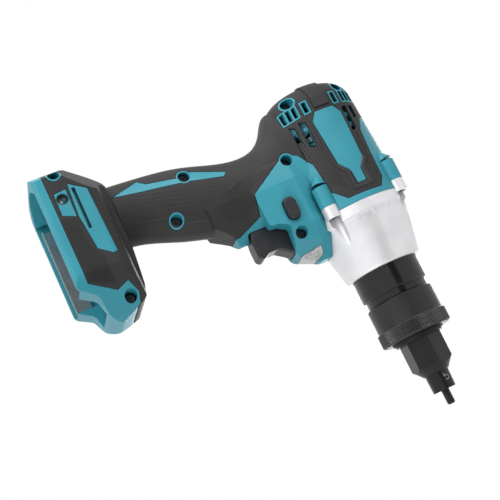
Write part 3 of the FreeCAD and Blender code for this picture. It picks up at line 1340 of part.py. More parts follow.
def make_terminals():
    """The terminal block through the bay's roof and the blades that enter the battery."""
    top = S.bay_roof + S.bay_web
    block = box_between((TERMINAL_REAR, -TERMINAL_HALF, S.bay_roof - 6),
                        (TERMINAL_FRONT, TERMINAL_HALF, top + 1))
    ledge = box_between((TERMINAL_REAR - 2, -TERMINAL_HALF - 2, top),
                        (TERMINAL_FRONT + 2, TERMINAL_HALF + 2, top + 1.6))
    block = block.fuse(ledge).removeSplitter()
    blades = []
    for across in (-S.blade_pitch, 0.0, S.blade_pitch):
        length = S.blade_length if across else S.blade_length * 0.6
        half = S.blade_width / 2
        blade = box_between((TERMINAL_REAR + 8, across - half, S.bay_roof - 6 - S.blade_height),
                            (TERMINAL_REAR + 8 + length, across + half, S.bay_roof - 6))
        blades.append(blade)
    keep("terminal_block", block, AT_FLANGE)
    keep("terminal_blades", Part.makeCompound(blades), AT_FLANGE)


def make_electronics():
    """The control board on the terminal block, and its heat sink."""
    low = S.bay_roof + S.bay_web + 1.6
    board = box_between((-66.0, -24.0, low), (-12.0, 24.0, low + 1.6))
    keep("control_board", board, AT_FLANGE)
    sink = box_between((-58.0, -18.0, low + 1.6), (-20.0, 18.0, low + 4.2))
    keep("control_heat_sink", sink, AT_FLANGE)


def make_hook_inserts():
    """Threaded brass inserts for a belt hook, one in each side of the foot."""
    inner = S.foot_half_width - S.foot_wall
    insert = crosswise(S.hook_insert_radius, HOOK_PLACE, HOOK_HEIGHT, inner, S.foot_half_width - S.hook_recess)
    insert = insert.cut(crosswise(S.hook_hole_radius, HOOK_PLACE, HOOK_HEIGHT, 0, 60))
    return keep("hook_inserts", Part.makeCompound([insert, over_the_middle(insert)]), AT_FLANGE)


def lead(route, radius):
    """A wire along straight runs joined by arcs."""
    points = [Vector(*point) for point in route]
    edges = []
    start = points[0]
    for before, corner, after in zip(points, points[1:], points[2:]):
        back, ahead = before - corner, after - corner
        half = back.getAngle(ahead) / 2
        trim = 0.45 * min(back.Length, ahead.Length)
        back.normalize()
        ahead.normalize()
        reach = trim * math.tan(half)
        middle = corner + (back + ahead).normalize() * (reach / math.sin(half) - reach)
        edges.append(Part.LineSegment(start, corner + back * trim).toShape())
        edges.append(Part.Arc(corner + back * trim, middle, corner + ahead * trim).toShape())
        start = corner + ahead * trim
    edges.append(Part.LineSegment(start, points[-1]).toShape())
    path = Part.Wire(edges)
    ring = Part.Wire(Part.Circle(points[0], points[1] - points[0], radius).toShape())
    return path.makePipeShell([ring], True, False)


def make_leads():
    """Three motor leads from the windings down the grip, and two battery leads to the switch."""
    low = S.bay_roof + S.bay_web + 5.8
    high = -(S.stator_radius + 5.6)
    motor = [lead([(-54.6, across, high), (-48.5, across, -44.0), (-48.5, across, -104.0),
                   (-56.0, across, -125.0), (-56.0, across, low)], 1.1) for across in (-4.0, 0.0, 4.0)]
    keep("motor_leads", Part.makeCompound(motor), AT_FLANGE)
    battery = [lead([(-34.0, across, S.switch_bottom), (-34.0, across, -90.0), (-44.0, across, -104.0),
                     (-44.0, across, low)], 1.3) for across in (-5.0, 5.0)]
    keep("battery_leads", Part.makeCompound(battery), AT_FLANGE)


def build():
    make_mandrel()
    make_nosepiece()
    make_barrel_tube()
    make_circlip()
    make_adjusting_sleeve()
    make_stop_ring()
    make_barrel_collar()
    make_pull_screw()
    make_spindle_nut()
    make_thrust_bearing()
    make_bearing("spindle_bearing_outer", spindle_bearing_front, S.spindle_bearing_width,
                 S.spindle_bearing_radius, S.nut_radius, "spindle_bearing_inner")
    make_gear_housing()
    make_gear_housing_screws()
    make_gear_train()
    make_bearing("front_bearing_outer", plate_rear, S.front_bearing_width, S.front_bearing_radius,
                 S.front_journal, "front_bearing_inner")
    make_bearing("rear_bearing_outer", rear_bearing_front, S.rear_bearing_width, S.rear_bearing_radius,
                 S.rear_journal, "rear_bearing_inner")
    make_stator()
    make_rotor()
    make_motor_board()
    make_clamshell()
    make_housing_screws()
    make_trigger()
    make_direction_lever()
    make_switch()
    make_lamp()
    make_battery_rails()
    make_terminals()
    make_electronics()
    make_hook_inserts()
    make_leads()


def check_and_write():
    """Stop at any failed feature or bad shape, then write one file for each sub-part."""
    doc.recompute()
    for thing in doc.Objects:
        if {"Invalid", "Error"} & set(thing.State):
            raise RuntimeError(f"{thing.Label} failed to compute")
    for label, thing in parts.items():
        if thing.Shape.isNull() or not thing.Shape.isValid() or not thing.Shape.Solids:
            raise RuntimeError(f"{label} has no valid shape")
    os.makedirs("parts", exist_ok=True)
    for label, thing in parts.items():
        thing.Shape.exportStep(f"parts/{label}.step")
    print(len(parts), "sub-parts written")


build()
check_and_write()
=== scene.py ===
import math
import bpy
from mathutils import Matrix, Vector
from mathutils.bvhtree import BVHTree


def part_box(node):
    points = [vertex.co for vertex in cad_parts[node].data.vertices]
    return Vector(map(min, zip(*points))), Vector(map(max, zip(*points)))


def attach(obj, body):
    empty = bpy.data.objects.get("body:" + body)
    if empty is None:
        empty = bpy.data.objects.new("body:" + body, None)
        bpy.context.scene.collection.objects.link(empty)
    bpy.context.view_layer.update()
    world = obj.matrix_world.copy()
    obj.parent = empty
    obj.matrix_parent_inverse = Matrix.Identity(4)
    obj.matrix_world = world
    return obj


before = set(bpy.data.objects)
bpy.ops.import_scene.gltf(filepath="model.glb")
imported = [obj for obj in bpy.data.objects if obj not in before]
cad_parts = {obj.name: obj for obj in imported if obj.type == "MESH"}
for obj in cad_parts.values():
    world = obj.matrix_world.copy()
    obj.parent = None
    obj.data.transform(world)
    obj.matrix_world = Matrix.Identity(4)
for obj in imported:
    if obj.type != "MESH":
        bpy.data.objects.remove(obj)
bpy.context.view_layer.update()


# Camera: it looks at the tool's right side from the front and a little below, and is rolled
# so that the barrel points down to the right of the picture.
CAMERA_AIM = Vector((-0.12676, 0.0, -0.07329))
CAMERA_DISTANCE = 0.67661
CAMERA_TURN = [math.radians(angle) for angle in (126.838, -62.892, -21.527)]
PHOTO_SIZE = 500
FOCAL_PIXELS = 1100

camera_data = bpy.data.cameras.new("camera")
camera_data.sensor_width = 36.0
camera_data.lens = camera_data.sensor_width * FOCAL_PIXELS / PHOTO_SIZE
camera_data.clip_start = 0.01
camera = bpy.data.objects.new("camera", camera_data)
camera.rotation_euler = CAMERA_TURN
camera.location = CAMERA_AIM + camera.rotation_euler.to_matrix() @ Vector((0, 0, CAMERA_DISTANCE))
bpy.context.scene.collection.objects.link(camera)
bpy.context.scene.camera = camera


# Studio: a pale floor under the foot that is seen only from above, a white surround,
# a dark flag for the polished faces, and five soft lamps placed round the tool.
FLOOR_SIZE = 6.0
FLOOR_GAP = 0.0002
FLOOR_SHADE = 0.3
FLOOR_GLOW = 0.80
FLAG_PLACE = (-0.05, -1.3, -0.75)
FLAG_SIZE = 3.0
FLAG_SHADE = 0.06
DAYLIGHT = 0.50
LAMPS = [
    # name, place, side in metres, power in watts
    ("key_lamp", (-1.0, -0.9, 0.2), 0.5, 6.0),
    ("rear_lamp", (-1.35, -0.25, -0.4), 0.5, 7.0),
    ("low_lamp", (-0.75, -0.6, -1.0), 0.4, 4.5),
    ("front_lamp", (0.95, -0.5, -0.65), 0.3, 5.0),
    ("left_lamp", (-0.2, 1.0, 0.5), 0.7, 7.0),
]
WHITE = (1, 1, 1, 1)


def node_adder(tree):
    """A function that adds a node to a tree and fills its sockets by their names."""
    def add(kind, **inputs):
        node = tree.nodes.new(kind)
        for key, value in inputs.items():
            socket = node.inputs[key.replace("_", " ")]
            if isinstance(value, bpy.types.NodeSocket):
                tree.links.new(value, socket)
            else:
                socket.default_value = value
        return node

    return add


def node_material(name):
    """A material with an empty node tree, and a function that adds a node to it."""
    material = bpy.data.materials.new(name)
    material.use_nodes = True
    material.node_tree.nodes.clear()
    return material, node_adder(material.node_tree)


def join(add, kind, first, second, place=0, **inputs):
    """A node that takes two links in neighbouring sockets, from a place on."""
    node = add(kind, **inputs)
    for step, source in enumerate((first, second)):
        node.id_data.links.new(source.outputs[0], node.inputs[place + step])
    return node


def square_card(name, size, material):
    """A flat square that belongs to the studio."""
    half = size / 2
    corners = [(-half, -half, 0), (half, -half, 0), (half, half, 0), (-half, half, 0)]
    mesh = bpy.data.meshes.new(name)
    mesh.from_pydata(corners, [], [(0, 1, 2, 3)])
    mesh.materials.append(material)
    card = bpy.data.objects.new(name, mesh)
    card.visible_diffuse = False
    card.visible_shadow = False
    bpy.context.scene.collection.objects.link(card)
    return card


def turn_to_tool(holder, place):
    """Put a lamp or a card in its place, facing the tool."""
    holder.location = place
    holder.rotation_euler = (CAMERA_AIM - Vector(place)).to_track_quat("-Z", "Y").to_euler()


def make_floor():
    """The floor: white to the eye, with the tool's shadow, and clear from below."""
    material, add = node_material("pale_floor")
    side = add("ShaderNodeNewGeometry")
    paint = add("ShaderNodeBsdfDiffuse", Color=(FLOOR_SHADE, FLOOR_SHADE, FLOOR_SHADE, 1))
    glow = add("ShaderNodeEmission", Color=WHITE, Strength=FLOOR_GLOW)
    pale = join(add, "ShaderNodeAddShader", paint, glow)
    clear = add("ShaderNodeBsdfTransparent")
    mix = join(add, "ShaderNodeMixShader", pale, clear, 1, Fac=side.outputs["Backfacing"])
    add("ShaderNodeOutputMaterial", Surface=mix.outputs[0])
    floor = square_card("floor", FLOOR_SIZE, material)
    floor.location.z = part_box("housing_right")[0].z - FLOOR_GAP


def make_flag():
    """A dark card turned to the tool, which only mirrors show, so that polished faces have depth."""
    material, add = node_material("dark_flag")
    cloth = add("ShaderNodeEmission", Color=WHITE, Strength=FLAG_SHADE)
    add("ShaderNodeOutputMaterial", Surface=cloth.outputs[0])
    flag = square_card("dark_flag", FLAG_SIZE, material)
    flag.visible_camera = False
    flag.visible_transmission = False
    turn_to_tool(flag, FLAG_PLACE)


def make_surround():
    """Daylight from all sides, which looks white behind the tool, in mirrors and through glass."""
    world = bpy.data.worlds.new("surround")
    world.use_nodes = True
    tree = world.node_tree
    tree.nodes.clear()
    add = node_adder(tree)
    path = add("ShaderNodeLightPath")
    seen = path.outputs["Is Camera Ray"]
    for kind in ("Is Glossy Ray", "Is Transmission Ray"):
        larger = add("ShaderNodeMath")
        larger.operation = "MAXIMUM"
        tree.links.new(seen, larger.inputs[0])
        tree.links.new(path.outputs[kind], larger.inputs[1])
        seen = larger.outputs[0]
    light = add("ShaderNodeBackground", Color=WHITE, Strength=DAYLIGHT)
    white = add("ShaderNodeBackground", Color=WHITE, Strength=1.0)
    mix = join(add, "ShaderNodeMixShader", light, white, 1, Fac=seen)
    add("ShaderNodeOutputWorld", Surface=mix.outputs[0])
    bpy.context.scene.world = world


def make_lamp(name, place, size, power):
    """A square soft lamp that faces the tool."""
    lamp = bpy.data.lights.new(name, "AREA")
    lamp.shape = "SQUARE"
    lamp.size = size
    lamp.energy = power
    holder = bpy.data.objects.new(name, lamp)
    turn_to_tool(holder, place)
    bpy.context.scene.collection.objects.link(holder)


make_floor()
make_surround()
make_flag()
for lamp_values in LAMPS:
    make_lamp(*lamp_values)
bpy.context.scene.view_settings.view_transform = "Standard"


# Clamshell halves: glass-filled nylon, moulded with a fine spark-eroded texture, its colour slightly paler in
# random patches and darkened by painted shade in gaps and inner corners. Screws hold them together.
TEAL = (0.030, 0.275, 0.350)
PALER = 1.08
SHADE_PATCH_SCALE = 60.0
SHADE_PATCH_RANGE = (0.35, 0.65)
# Painted shade in gaps and inner corners: how far it reaches, the openness over which it fades, and how dark
# it gets.
CREVICE_REACH = 0.004
CREVICE_OPENNESS = (0.2, 0.85)
CREVICE_SHADE = 0.3
EDGE_SAMPLES = 6


def row_place(add):
    """Coordinates in the tool's own frame, in metres."""
    return add("ShaderNodeTexCoord").outputs["Object"]


def rounded_normal(add, radius):
    """A normal that looks as if edges were rounded by a small radius."""
    bevel = add("ShaderNodeBevel", Radius=radius)
    bevel.samples = EDGE_SAMPLES
    return bevel.outputs["Normal"]


def grain(add, place, scale, depth, edge):
    """Fine bumps of a moulded or blasted surface, over softened edges."""
    noise = add("ShaderNodeTexNoise", Vector=place, Scale=scale, Detail=3.0)
    bump = add("ShaderNodeBump", Strength=1.0, Distance=depth, Height=noise.outputs["Fac"],
               Normal=rounded_normal(add, edge))
    return bump.outputs["Normal"]


def blend_colours(add, factor, first, second):
    """A colour between two, by a factor."""
    mix = add("ShaderNodeMix")
    mix.data_type = "RGBA"
    mix.id_data.links.new(factor, mix.inputs["Factor"])
    sockets = [socket for socket in mix.inputs if socket.type == "RGBA"]
    for socket, colour in zip(sockets, (first, second)):
        if isinstance(colour, bpy.types.NodeSocket):
            mix.id_data.links.new(colour, socket)
        else:
            socket.default_value = (*colour, 1)
    return [socket for socket in mix.outputs if socket.type == "RGBA"][0]


def patchy(add, place, scale, first, second):
    """A colour that wanders between two shades, as moulded or worn surfaces do."""
    noise = add("ShaderNodeTexNoise", Vector=place, Scale=scale, Detail=2.0)
    low, high = SHADE_PATCH_RANGE
    spread = add("ShaderNodeMapRange", Value=noise.outputs["Fac"], From_Min=low, From_Max=high)
    return blend_colours(add, spread.outputs[0], first, second)


def shade_crevices(add, colour, dark):
    """A colour that darkens in gaps and inner corners, where little light gets in."""
    hidden = add("ShaderNodeAmbientOcclusion", Distance=CREVICE_REACH)
    hidden.samples = EDGE_SAMPLES
    closed, free = CREVICE_OPENNESS
    spread = add("ShaderNodeMapRange", Value=hidden.outputs["AO"], From_Min=closed, From_Max=free)
    return blend_colours(add, spread.outputs[0], dark, colour)


def plastic(name, first, second, roughness, grain_scale, grain_depth, edge, gloss=0.5):
    """A moulded plastic or rubber with a wandering shade, a fine grain, softened edges and painted shade in
    gaps and inner corners.
    """
    material, add = node_material(name)
    place = row_place(add)
    colour = patchy(add, place, SHADE_PATCH_SCALE, first, second)
    # Painted shade: the colour is darkened in gaps and inner corners.
    colour = shade_crevices(add, colour, [shade * CREVICE_SHADE for shade in first])
    normal = grain(add, place, grain_scale, grain_depth, edge)
    surface = add("ShaderNodeBsdfPrincipled", Base_Color=colour, Roughness=roughness, Normal=normal,
                  Specular_IOR_Level=gloss)
    add("ShaderNodeOutputMaterial", Surface=surface.outputs[0])
    return material


def finish(material, *names):
    """Give CAD nodes a material."""
    for name in names:
        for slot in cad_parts[name].material_slots:
            slot.material = material


teal_nylon = plastic("teal_nylon", TEAL, [shade * PALER for shade in TEAL], roughness=0.42,
                     grain_scale=2600.0, grain_depth=0.00004, edge=0.0006, gloss=0.35)
finish(teal_nylon, "housing_right", "housing_left")


# Soft covers: black rubber moulded over the nylon, matt and slightly warm in shade. The mould
# leaves ridges beside the barrel's panel, a rim round its neck, and fine ribs under palm and foot.
# Lines are in millimetres: ahead of the casting's joint, and above the barrel's axis.
FLANGE_STATION = 0.124
SIDES = {"right": -1, "left": 1}
TOUCH_START = 0.06
TOUCH_SLOPE = 0.3
RIDGE_STEP = 0.0008
RIDGE_ROOT = 0.0002
LONGEST_DROP = 0.0006
GROOVE = 0.62
TONGUE_RIDGES = 8
TONGUE_REAR = (-52.0, -22.8, 1.75)
TONGUE_FRONT = (-17.0, -18.3, 1.2)
TONGUE_FRONT_SLANT = 1.05
PANEL_TOP_RIDGES = 3
PANEL_TOP_REAR = (-42.0, 11.2, 1.35)
PANEL_TOP_FRONT = (-10.5, 10.2, 1.3)
PANEL_TOP_FRONT_SLANT = -0.6
NECK_RIM_HALF = 0.85
PALM_RIB_PITCH = 1.35
PALM_RIB_HALF = 0.36
PALM_RIB_TILT = -0.07
CREASE_HALF = 0.16
FOOT_RIB_PITCH = 1.12
FOOT_RIB_HALF = 0.26
NECK_RIM = [(-24.6, -10.0), (-18.7, -5.2), (-6.9, -5.2), (-6.9, 5.2), (-17.8, 5.2), (-23.2, 9.3)]
PALM_PATCH = [(-42.0, -71.3), (-38.5, -62.6), (-25.1, -63.2), (-19.5, -65.8), (-17.2, -73.1),
              (-25.5, -84.3), (-29.7, -83.6), (-35.8, -76.4)]
FOOT_PATCH = [(-52.4, -177.2), (-49.3, -168.4), (-33.9, -167.6), (-27.6, -165.9), (-23.0, -162.6),
              (-7.0, -162.9), (-13.6, -177.2)]
HANDLE_CREASES = [
    [(-44.2, -74.6), (-31.7, -86.2)], [(-29.3, -104.7), (-26.4, -93.1)],
    [(-57.6, -127.7), (-44.6, -80.0)], [(-55.4, -129.0), (-42.4, -82.0)], [(-53.4, -131.5), (-39.4, -83.0)],
    [(-51.0, -132.0), (-36.6, -84.0)], [(-48.0, -133.0), (-34.2, -86.0)], [(-41.5, -134.5), (-36.2, -115.0)],
]


def tool_point(along, height):
    """A place on the tool's middle plane, in metres, from a line's two millimetre values."""
    return Vector((along / 1000 - FLANGE_STATION, 0, height / 1000))


def outer_skin(*names):
    """The faces of CAD nodes, ready to be touched from outside."""
    points, faces = [], []
    for name in names:
        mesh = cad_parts[name].data
        first = len(points)
        points += [vertex.co.copy() for vertex in mesh.vertices]
        faces += [[first + corner for corner in face.vertices] for face in mesh.polygons]
    return BVHTree.FromPolygons(points, faces)


def touch(skin, place, side):
    """Where a line across the tool meets the skin, and the skin's outward direction there."""
    start = Vector((place.x, side * TOUCH_START, place.z))
    hit, normal = skin.ray_cast(start, Vector((0, -side, 0)))[:2]
    if hit is None or abs(normal.y) < TOUCH_SLOPE:
        return None, None
    return hit, normal if normal.y * side > 0 else -normal


def walk(line):
    """Places along a line of (along, height, half width), with the mitred direction across it at each."""
    corners = [(tool_point(along, height), half / 1000) for along, height, half in line]
    legs = [(after[0] - before[0]).normalized() for before, after in zip(corners, corners[1:])]
    for index, leg in enumerate(legs):
        (start, start_half), (end, end_half) = corners[index:index + 2]
        steps = max(1, round((end - start).length / RIDGE_STEP))
        last_leg = index == len(legs) - 1
        for step in range(steps + last_leg):
            share = step / steps
            direction, stretch = leg, 1.0
            if step == 0 and index > 0:
                direction = (leg + legs[index - 1]).normalized()
                stretch = 1 / max(0.5, direction.dot(leg))
            half = stretch * (start_half * (1 - share) + end_half * share)
            yield start.lerp(end, share), direction, half


def raise_ridges(name, skin, side, lines, height, flank, material):
    """Low ridges with sloping flanks that follow the skin along lines; they stop at holes and steps."""
    points, faces = [], []
    for line in lines:
        last, last_hit = None, None
        for place, direction, half in walk(line):
            hit, normal = touch(skin, place, side)
            if hit is None or (last_hit is not None and abs(hit.y - last_hit.y) > LONGEST_DROP):
                last, last_hit = None, None
                continue
            across = normal.cross(direction).normalized()
            first = len(points)
            for offset, lift in ((-half - flank, -RIDGE_ROOT), (-half, height), (half, height),
                                 (half + flank, -RIDGE_ROOT)):
                points.append(hit + across * offset + normal * lift)
            if last is None:
                faces.append((first, first + 1, first + 2, first + 3))
            else:
                faces += [(last + edge, last + edge + 1, first + edge + 1, first + edge) for edge in range(3)]
            last, last_hit = first, hit
        if last is not None:
            faces.append((last + 3, last + 2, last + 1, last))
    return mesh_piece(name, points, faces, material, "gun")


def mesh_piece(name, points, faces, material, body, smooth=False):
    """A piece made from points and faces, which rides on a body."""
    mesh = bpy.data.meshes.new(name)
    mesh.from_pydata(points, [], faces)
    mesh.update()
    mesh.materials.append(material)
    for face in mesh.polygons:
        face.use_smooth = smooth
    piece = bpy.data.objects.new(name, mesh)
    bpy.context.scene.collection.objects.link(piece)
    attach(piece, body)
    return piece


def fan(count, rear, front, slant):
    """Ridges side by side that draw together to the front; each end has its first place and its pitch."""
    lines = []
    for number in range(count):
        ends = []
        for (along, height, pitch), shift in ((rear, 0.0), (front, number * slant)):
            ends.append((along + shift, height + number * pitch, (pitch - GROOVE) / 2))
        lines.append(ends)
    return lines


def hatch(outline, pitch, half, tilt=0.0):
    """Parallel lines across an outline, one above the other."""
    lines = []
    heights = [height - tilt * along for along, height in outline]
    level = min(heights) + pitch / 2
    while level < max(heights):
        crossings = []
        for (x1, z1), (x2, z2) in zip(outline, outline[1:] + outline[:1]):
            low, high = z1 - tilt * x1 - level, z2 - tilt * x2 - level
            if low * high < 0:
                crossings.append(x1 + (x2 - x1) * low / (low - high))
        if len(crossings) >= 2:
            ends = (min(crossings), max(crossings))
            lines.append([(end, level + tilt * end, half) for end in ends])
        level += pitch
    return lines


black_rubber = plastic("black_rubber", (0.022, 0.021, 0.022), (0.027, 0.026, 0.027), roughness=0.6,
                       grain_scale=3200.0, grain_depth=0.00005, edge=0.0008, gloss=0.3)
ridge_rubber = plastic("ridge_rubber", (0.021, 0.020, 0.021), (0.026, 0.025, 0.026), roughness=0.45,
                       grain_scale=3200.0, grain_depth=0.00001, edge=0.00008, gloss=0.4)
finish(black_rubber, "grip_cover_right", "grip_cover_left", "foot_cover_right", "foot_cover_left")
tongue_lines = fan(TONGUE_RIDGES, TONGUE_REAR, TONGUE_FRONT, TONGUE_FRONT_SLANT)
panel_top_lines = fan(PANEL_TOP_RIDGES, PANEL_TOP_REAR, PANEL_TOP_FRONT, PANEL_TOP_FRONT_SLANT)
cover_ridges = [
    # name, cover, lines, height and width of the flanks in metres
    ("tongue_ridges", "grip_cover", tongue_lines + panel_top_lines, 0.0003, 0.00014),
    ("neck_rim", "grip_cover", [[(*corner, NECK_RIM_HALF) for corner in NECK_RIM]], 0.0007, 0.0007),
    ("palm_ridges", "grip_cover", hatch(PALM_PATCH, PALM_RIB_PITCH, PALM_RIB_HALF, PALM_RIB_TILT),
     0.0002, 0.00012),
    ("handle_creases", "grip_cover", [[(*place, CREASE_HALF) for place in line] for line in HANDLE_CREASES],
     0.00012, 0.0003),
    ("foot_ridges", "foot_cover", hatch(FOOT_PATCH, FOOT_RIB_PITCH, FOOT_RIB_HALF), 0.00028, 0.00012),
]
for hand, side in SIDES.items():
    skins = {}
    for cover in ("grip_cover", "foot_cover"):
        skins[cover] = outer_skin(f"{cover}_{hand}", f"housing_{hand}")
    for name, cover, lines, height, flank in cover_ridges:
        raise_ridges(f"{name}_{hand}", skins[cover], side, lines, height, flank, ridge_rubber)


# Vent shroud: a nylon ring round the motor that steers the cooling air, clipped into the
# clamshell. Its slanted edges show through the tall vents. Plates are given by their corners.
SHROUD_PLATES = [
    [(-62.5, -24.6), (-52.8, -24.6), (-55.9, -18.5), (-62.5, -18.5)],
    [(-62.5, -18.9), (-49.0, -18.9), (-53.4, -12.0), (-62.5, -12.0)],
    [(-47.2, -18.9), (-45.4, -18.9), (-42.0, -12.0), (-43.8, -12.0)],
]
SHROUD_MEASURED_AT = -56.0
SHROUD_BELOW_VENTS = -26.0
SHROUD_BETWEEN_VENTS = -18.7
SHROUD_ABOVE_VENTS = -10.5
SHROUD_DEPTH = 0.0027
SHROUD_WALL = 0.0008
SHROUD_STEPS = 6


def shroud(name, skin, side, material):
    """Curved plates inside the wall, each between two lines that run across the tool."""
    half_widths = {}
    for height in (SHROUD_BELOW_VENTS, SHROUD_BETWEEN_VENTS, SHROUD_ABOVE_VENTS):
        half_widths[height] = abs(touch(skin, tool_point(SHROUD_MEASURED_AT, height), side)[0].y)
    points, faces = [], []
    for low_rear, low_front, high_front, high_rear in SHROUD_PLATES:
        first = len(points)
        for step in range(SHROUD_STEPS + 1):
            share = step / SHROUD_STEPS
            ends = []
            for below, above in ((low_rear, high_rear), (low_front, high_front)):
                ends.append([start + (end - start) * share for start, end in zip(below, above)])
            height = ends[0][1]
            low, high = SHROUD_BETWEEN_VENTS, SHROUD_ABOVE_VENTS
            if height < SHROUD_BETWEEN_VENTS:
                low, high = SHROUD_BELOW_VENTS, SHROUD_BETWEEN_VENTS
            part = (height - low) / (high - low)
            outer = half_widths[low] * (1 - part) + half_widths[high] * part - SHROUD_DEPTH
            for depth in (outer, outer - SHROUD_WALL):
                points += [tool_point(*end) + Vector((0, side * depth, 0)) for end in ends]
        last = first + 4 * SHROUD_STEPS
        for ring in range(first, last, 4):
            for corner, other in ((0, 1), (1, 3), (3, 2), (2, 0)):
                faces.append((ring + corner, ring + other, ring + other + 4, ring + corner + 4))
        faces.append((first, first + 2, first + 3, first + 1))
        faces.append((last, last + 1, last + 3, last + 2))
    return mesh_piece(name, points, faces, material, "gun")


shroud_nylon = plastic("shroud_nylon", (0.030, 0.250, 0.320), (0.034, 0.270, 0.345), roughness=0.45,
                       grain_scale=2600.0, grain_depth=0.00003, edge=0.0003, gloss=0.35)
for hand, side in SIDES.items():
    shroud(f"vent_shroud_{hand}", outer_skin(f"grip_cover_{hand}", f"housing_{hand}"), side, shroud_nylon)


# Gear housing: an aluminium die casting, blasted to an even satin. Four cap screws through
# its lugs hold it to the clamshell; the clamshell's own screws are of the same dark steel.
METAL_PATCH_SCALE = 90.0


def metal(name, first, second, roughness, grain_scale, grain_depth, edge, metallic=1.0, gloss=0.5):
    """A metal with a faint wandering shade, a fine grain and softened edges."""
    material, add = node_material(name)
    place = row_place(add)
    shade = patchy(add, place, METAL_PATCH_SCALE, first, second)
    normal = grain(add, place, grain_scale, grain_depth, edge)
    surface = add("ShaderNodeBsdfPrincipled", Base_Color=shade, Roughness=roughness, Normal=normal,
                  Metallic=metallic, Specular_IOR_Level=gloss)
    add("ShaderNodeOutputMaterial", Surface=surface.outputs[0])
    return material


cast_aluminium = metal("cast_aluminium", (0.72, 0.72, 0.735), (0.78, 0.78, 0.795), roughness=0.44,
                       grain_scale=1500.0, grain_depth=0.00004, edge=0.0005, metallic=0.65)
finish(cast_aluminium, "gear_housing", "gearcase_rear_plate")
lug_steel = metal("lug_steel", (0.08, 0.08, 0.085), (0.11, 0.11, 0.115), roughness=0.35,
                  grain_scale=900.0, grain_depth=0.00002, edge=0.0003)
finish(lug_steel, "gear_housing_screws", "housing_screws")


# Collar: a steel ring on the barrel tube, drawn up against the gear housing. It is turned,
# ground, blackened and polished, so that it mirrors what is round it.
gloss_black = metal("gloss_black", (0.010, 0.010, 0.011), (0.013, 0.013, 0.014), roughness=0.14,
                    grain_scale=400.0, grain_depth=0.000004, edge=0.0004, metallic=0.0, gloss=0.35)
finish(gloss_black, "barrel_collar")


# Stroke sleeve: blackened steel with a dull finish, turned by hand on the barrel tube, where
# a circlip holds it. A diamond knurl is rolled round its front end for the fingers.
KNURL_FRONT = 0.0376
KNURL_LENGTH = 0.0086
KNURL_RADIUS = 0.0223
KNURL_ROUND = 88
KNURL_ROWS = 6
KNURL_HEIGHT = 0.0005
KNURL_SINK = 0.00002


def around(radius, angle, station):
    """A point round the barrel's axis at a station behind the nosepiece's face."""
    return Vector((-station, -radius * math.cos(angle), radius * math.sin(angle)))


def knurl_ring(material):
    """Rows of four-sided points, set in a diamond pattern on the sleeve's front band."""
    points, faces = [], []
    turn, rise = math.tau / KNURL_ROUND, KNURL_LENGTH / KNURL_ROWS
    for row in range(2 * KNURL_ROWS - 1):
        station = KNURL_FRONT + (row + 1) / 2 * rise
        for column in range(KNURL_ROUND):
            angle = (column + row % 2 / 2) * turn
            first = len(points)
            points.append(around(KNURL_RADIUS + KNURL_HEIGHT, angle, station))
            for swing, shift in ((-0.5, 0), (0, -0.5), (0.5, 0), (0, 0.5)):
                points.append(around(KNURL_RADIUS - KNURL_SINK, angle + swing * turn, station + shift * rise))
            faces += [(first, first + 1 + corner, first + 1 + (corner + 1) % 4) for corner in range(4)]
    return mesh_piece("sleeve_knurl", points, faces, material, "stroke_sleeve")


dull_black = metal("dull_black", (0.016, 0.015, 0.017), (0.020, 0.019, 0.021), roughness=0.4,
                   grain_scale=1800.0, grain_depth=0.00002, edge=0.0004, metallic=0.0, gloss=0.3)
finish(dull_black, "adjusting_sleeve", "circlip", "barrel_tube")
knurl_black = metal("knurl_black", (0.018, 0.017, 0.019), (0.022, 0.021, 0.023), roughness=0.3,
                    grain_scale=1800.0, grain_depth=0.000005, edge=0.00003, metallic=0.0, gloss=0.6)
knurl_ring(knurl_black)


# Nosepiece and mandrel: black-oxide steel. The nosepiece screws into the barrel tube. The
# mandrel's end has a rolled thread of the size that the plain number cut in the nosepiece gives.
THREAD_PITCH = 0.0008
THREAD_RADIUS = 0.00243
THREAD_HEIGHT = 0.00016
THREAD_START = 0.0002
THREAD_LENGTH = 0.0084
THREAD_FLANK = 0.4
THREAD_STEPS = 24
SPIGOT_RADIUS = 0.00760
NUMBER_LIFT = 0.00004
NUMBER_HEIGHT = 0.0042
NUMBER_STATION = 0.0072
NUMBER_ANGLE = math.radians(14)
# The digit's stroke, as shares of its height: flag and neck, then the bowl.
NUMBER_STROKE = 0.075
NUMBER_FLAG = [(0.30, 1.0), (-0.30, 1.0), (-0.34, 0.56)]
BOWL_WIDTH = 0.36
BOWL_HEIGHT = 0.33
BOWL_ANGLES = range(140, -150, -20)


def rolled_thread(material):
    """A helical ridge round the mandrel's end."""
    points, faces = [], []
    count = int(THREAD_LENGTH / THREAD_PITCH * THREAD_STEPS)
    for step in range(count + 1):
        angle = step / THREAD_STEPS * math.tau
        ahead = THREAD_START + step / THREAD_STEPS * THREAD_PITCH
        for shift, lift in ((-THREAD_FLANK, 0.0), (0.0, THREAD_HEIGHT), (THREAD_FLANK, 0.0)):
            points.append(around(THREAD_RADIUS + lift, angle, -(ahead + shift * THREAD_PITCH)))
        if step:
            first = len(points) - 6
            for edge in (first, first + 1):
                faces.append((edge, edge + 1, edge + 4, edge + 3))
    return mesh_piece("mandrel_thread", points, faces, material, "pull", smooth=True)


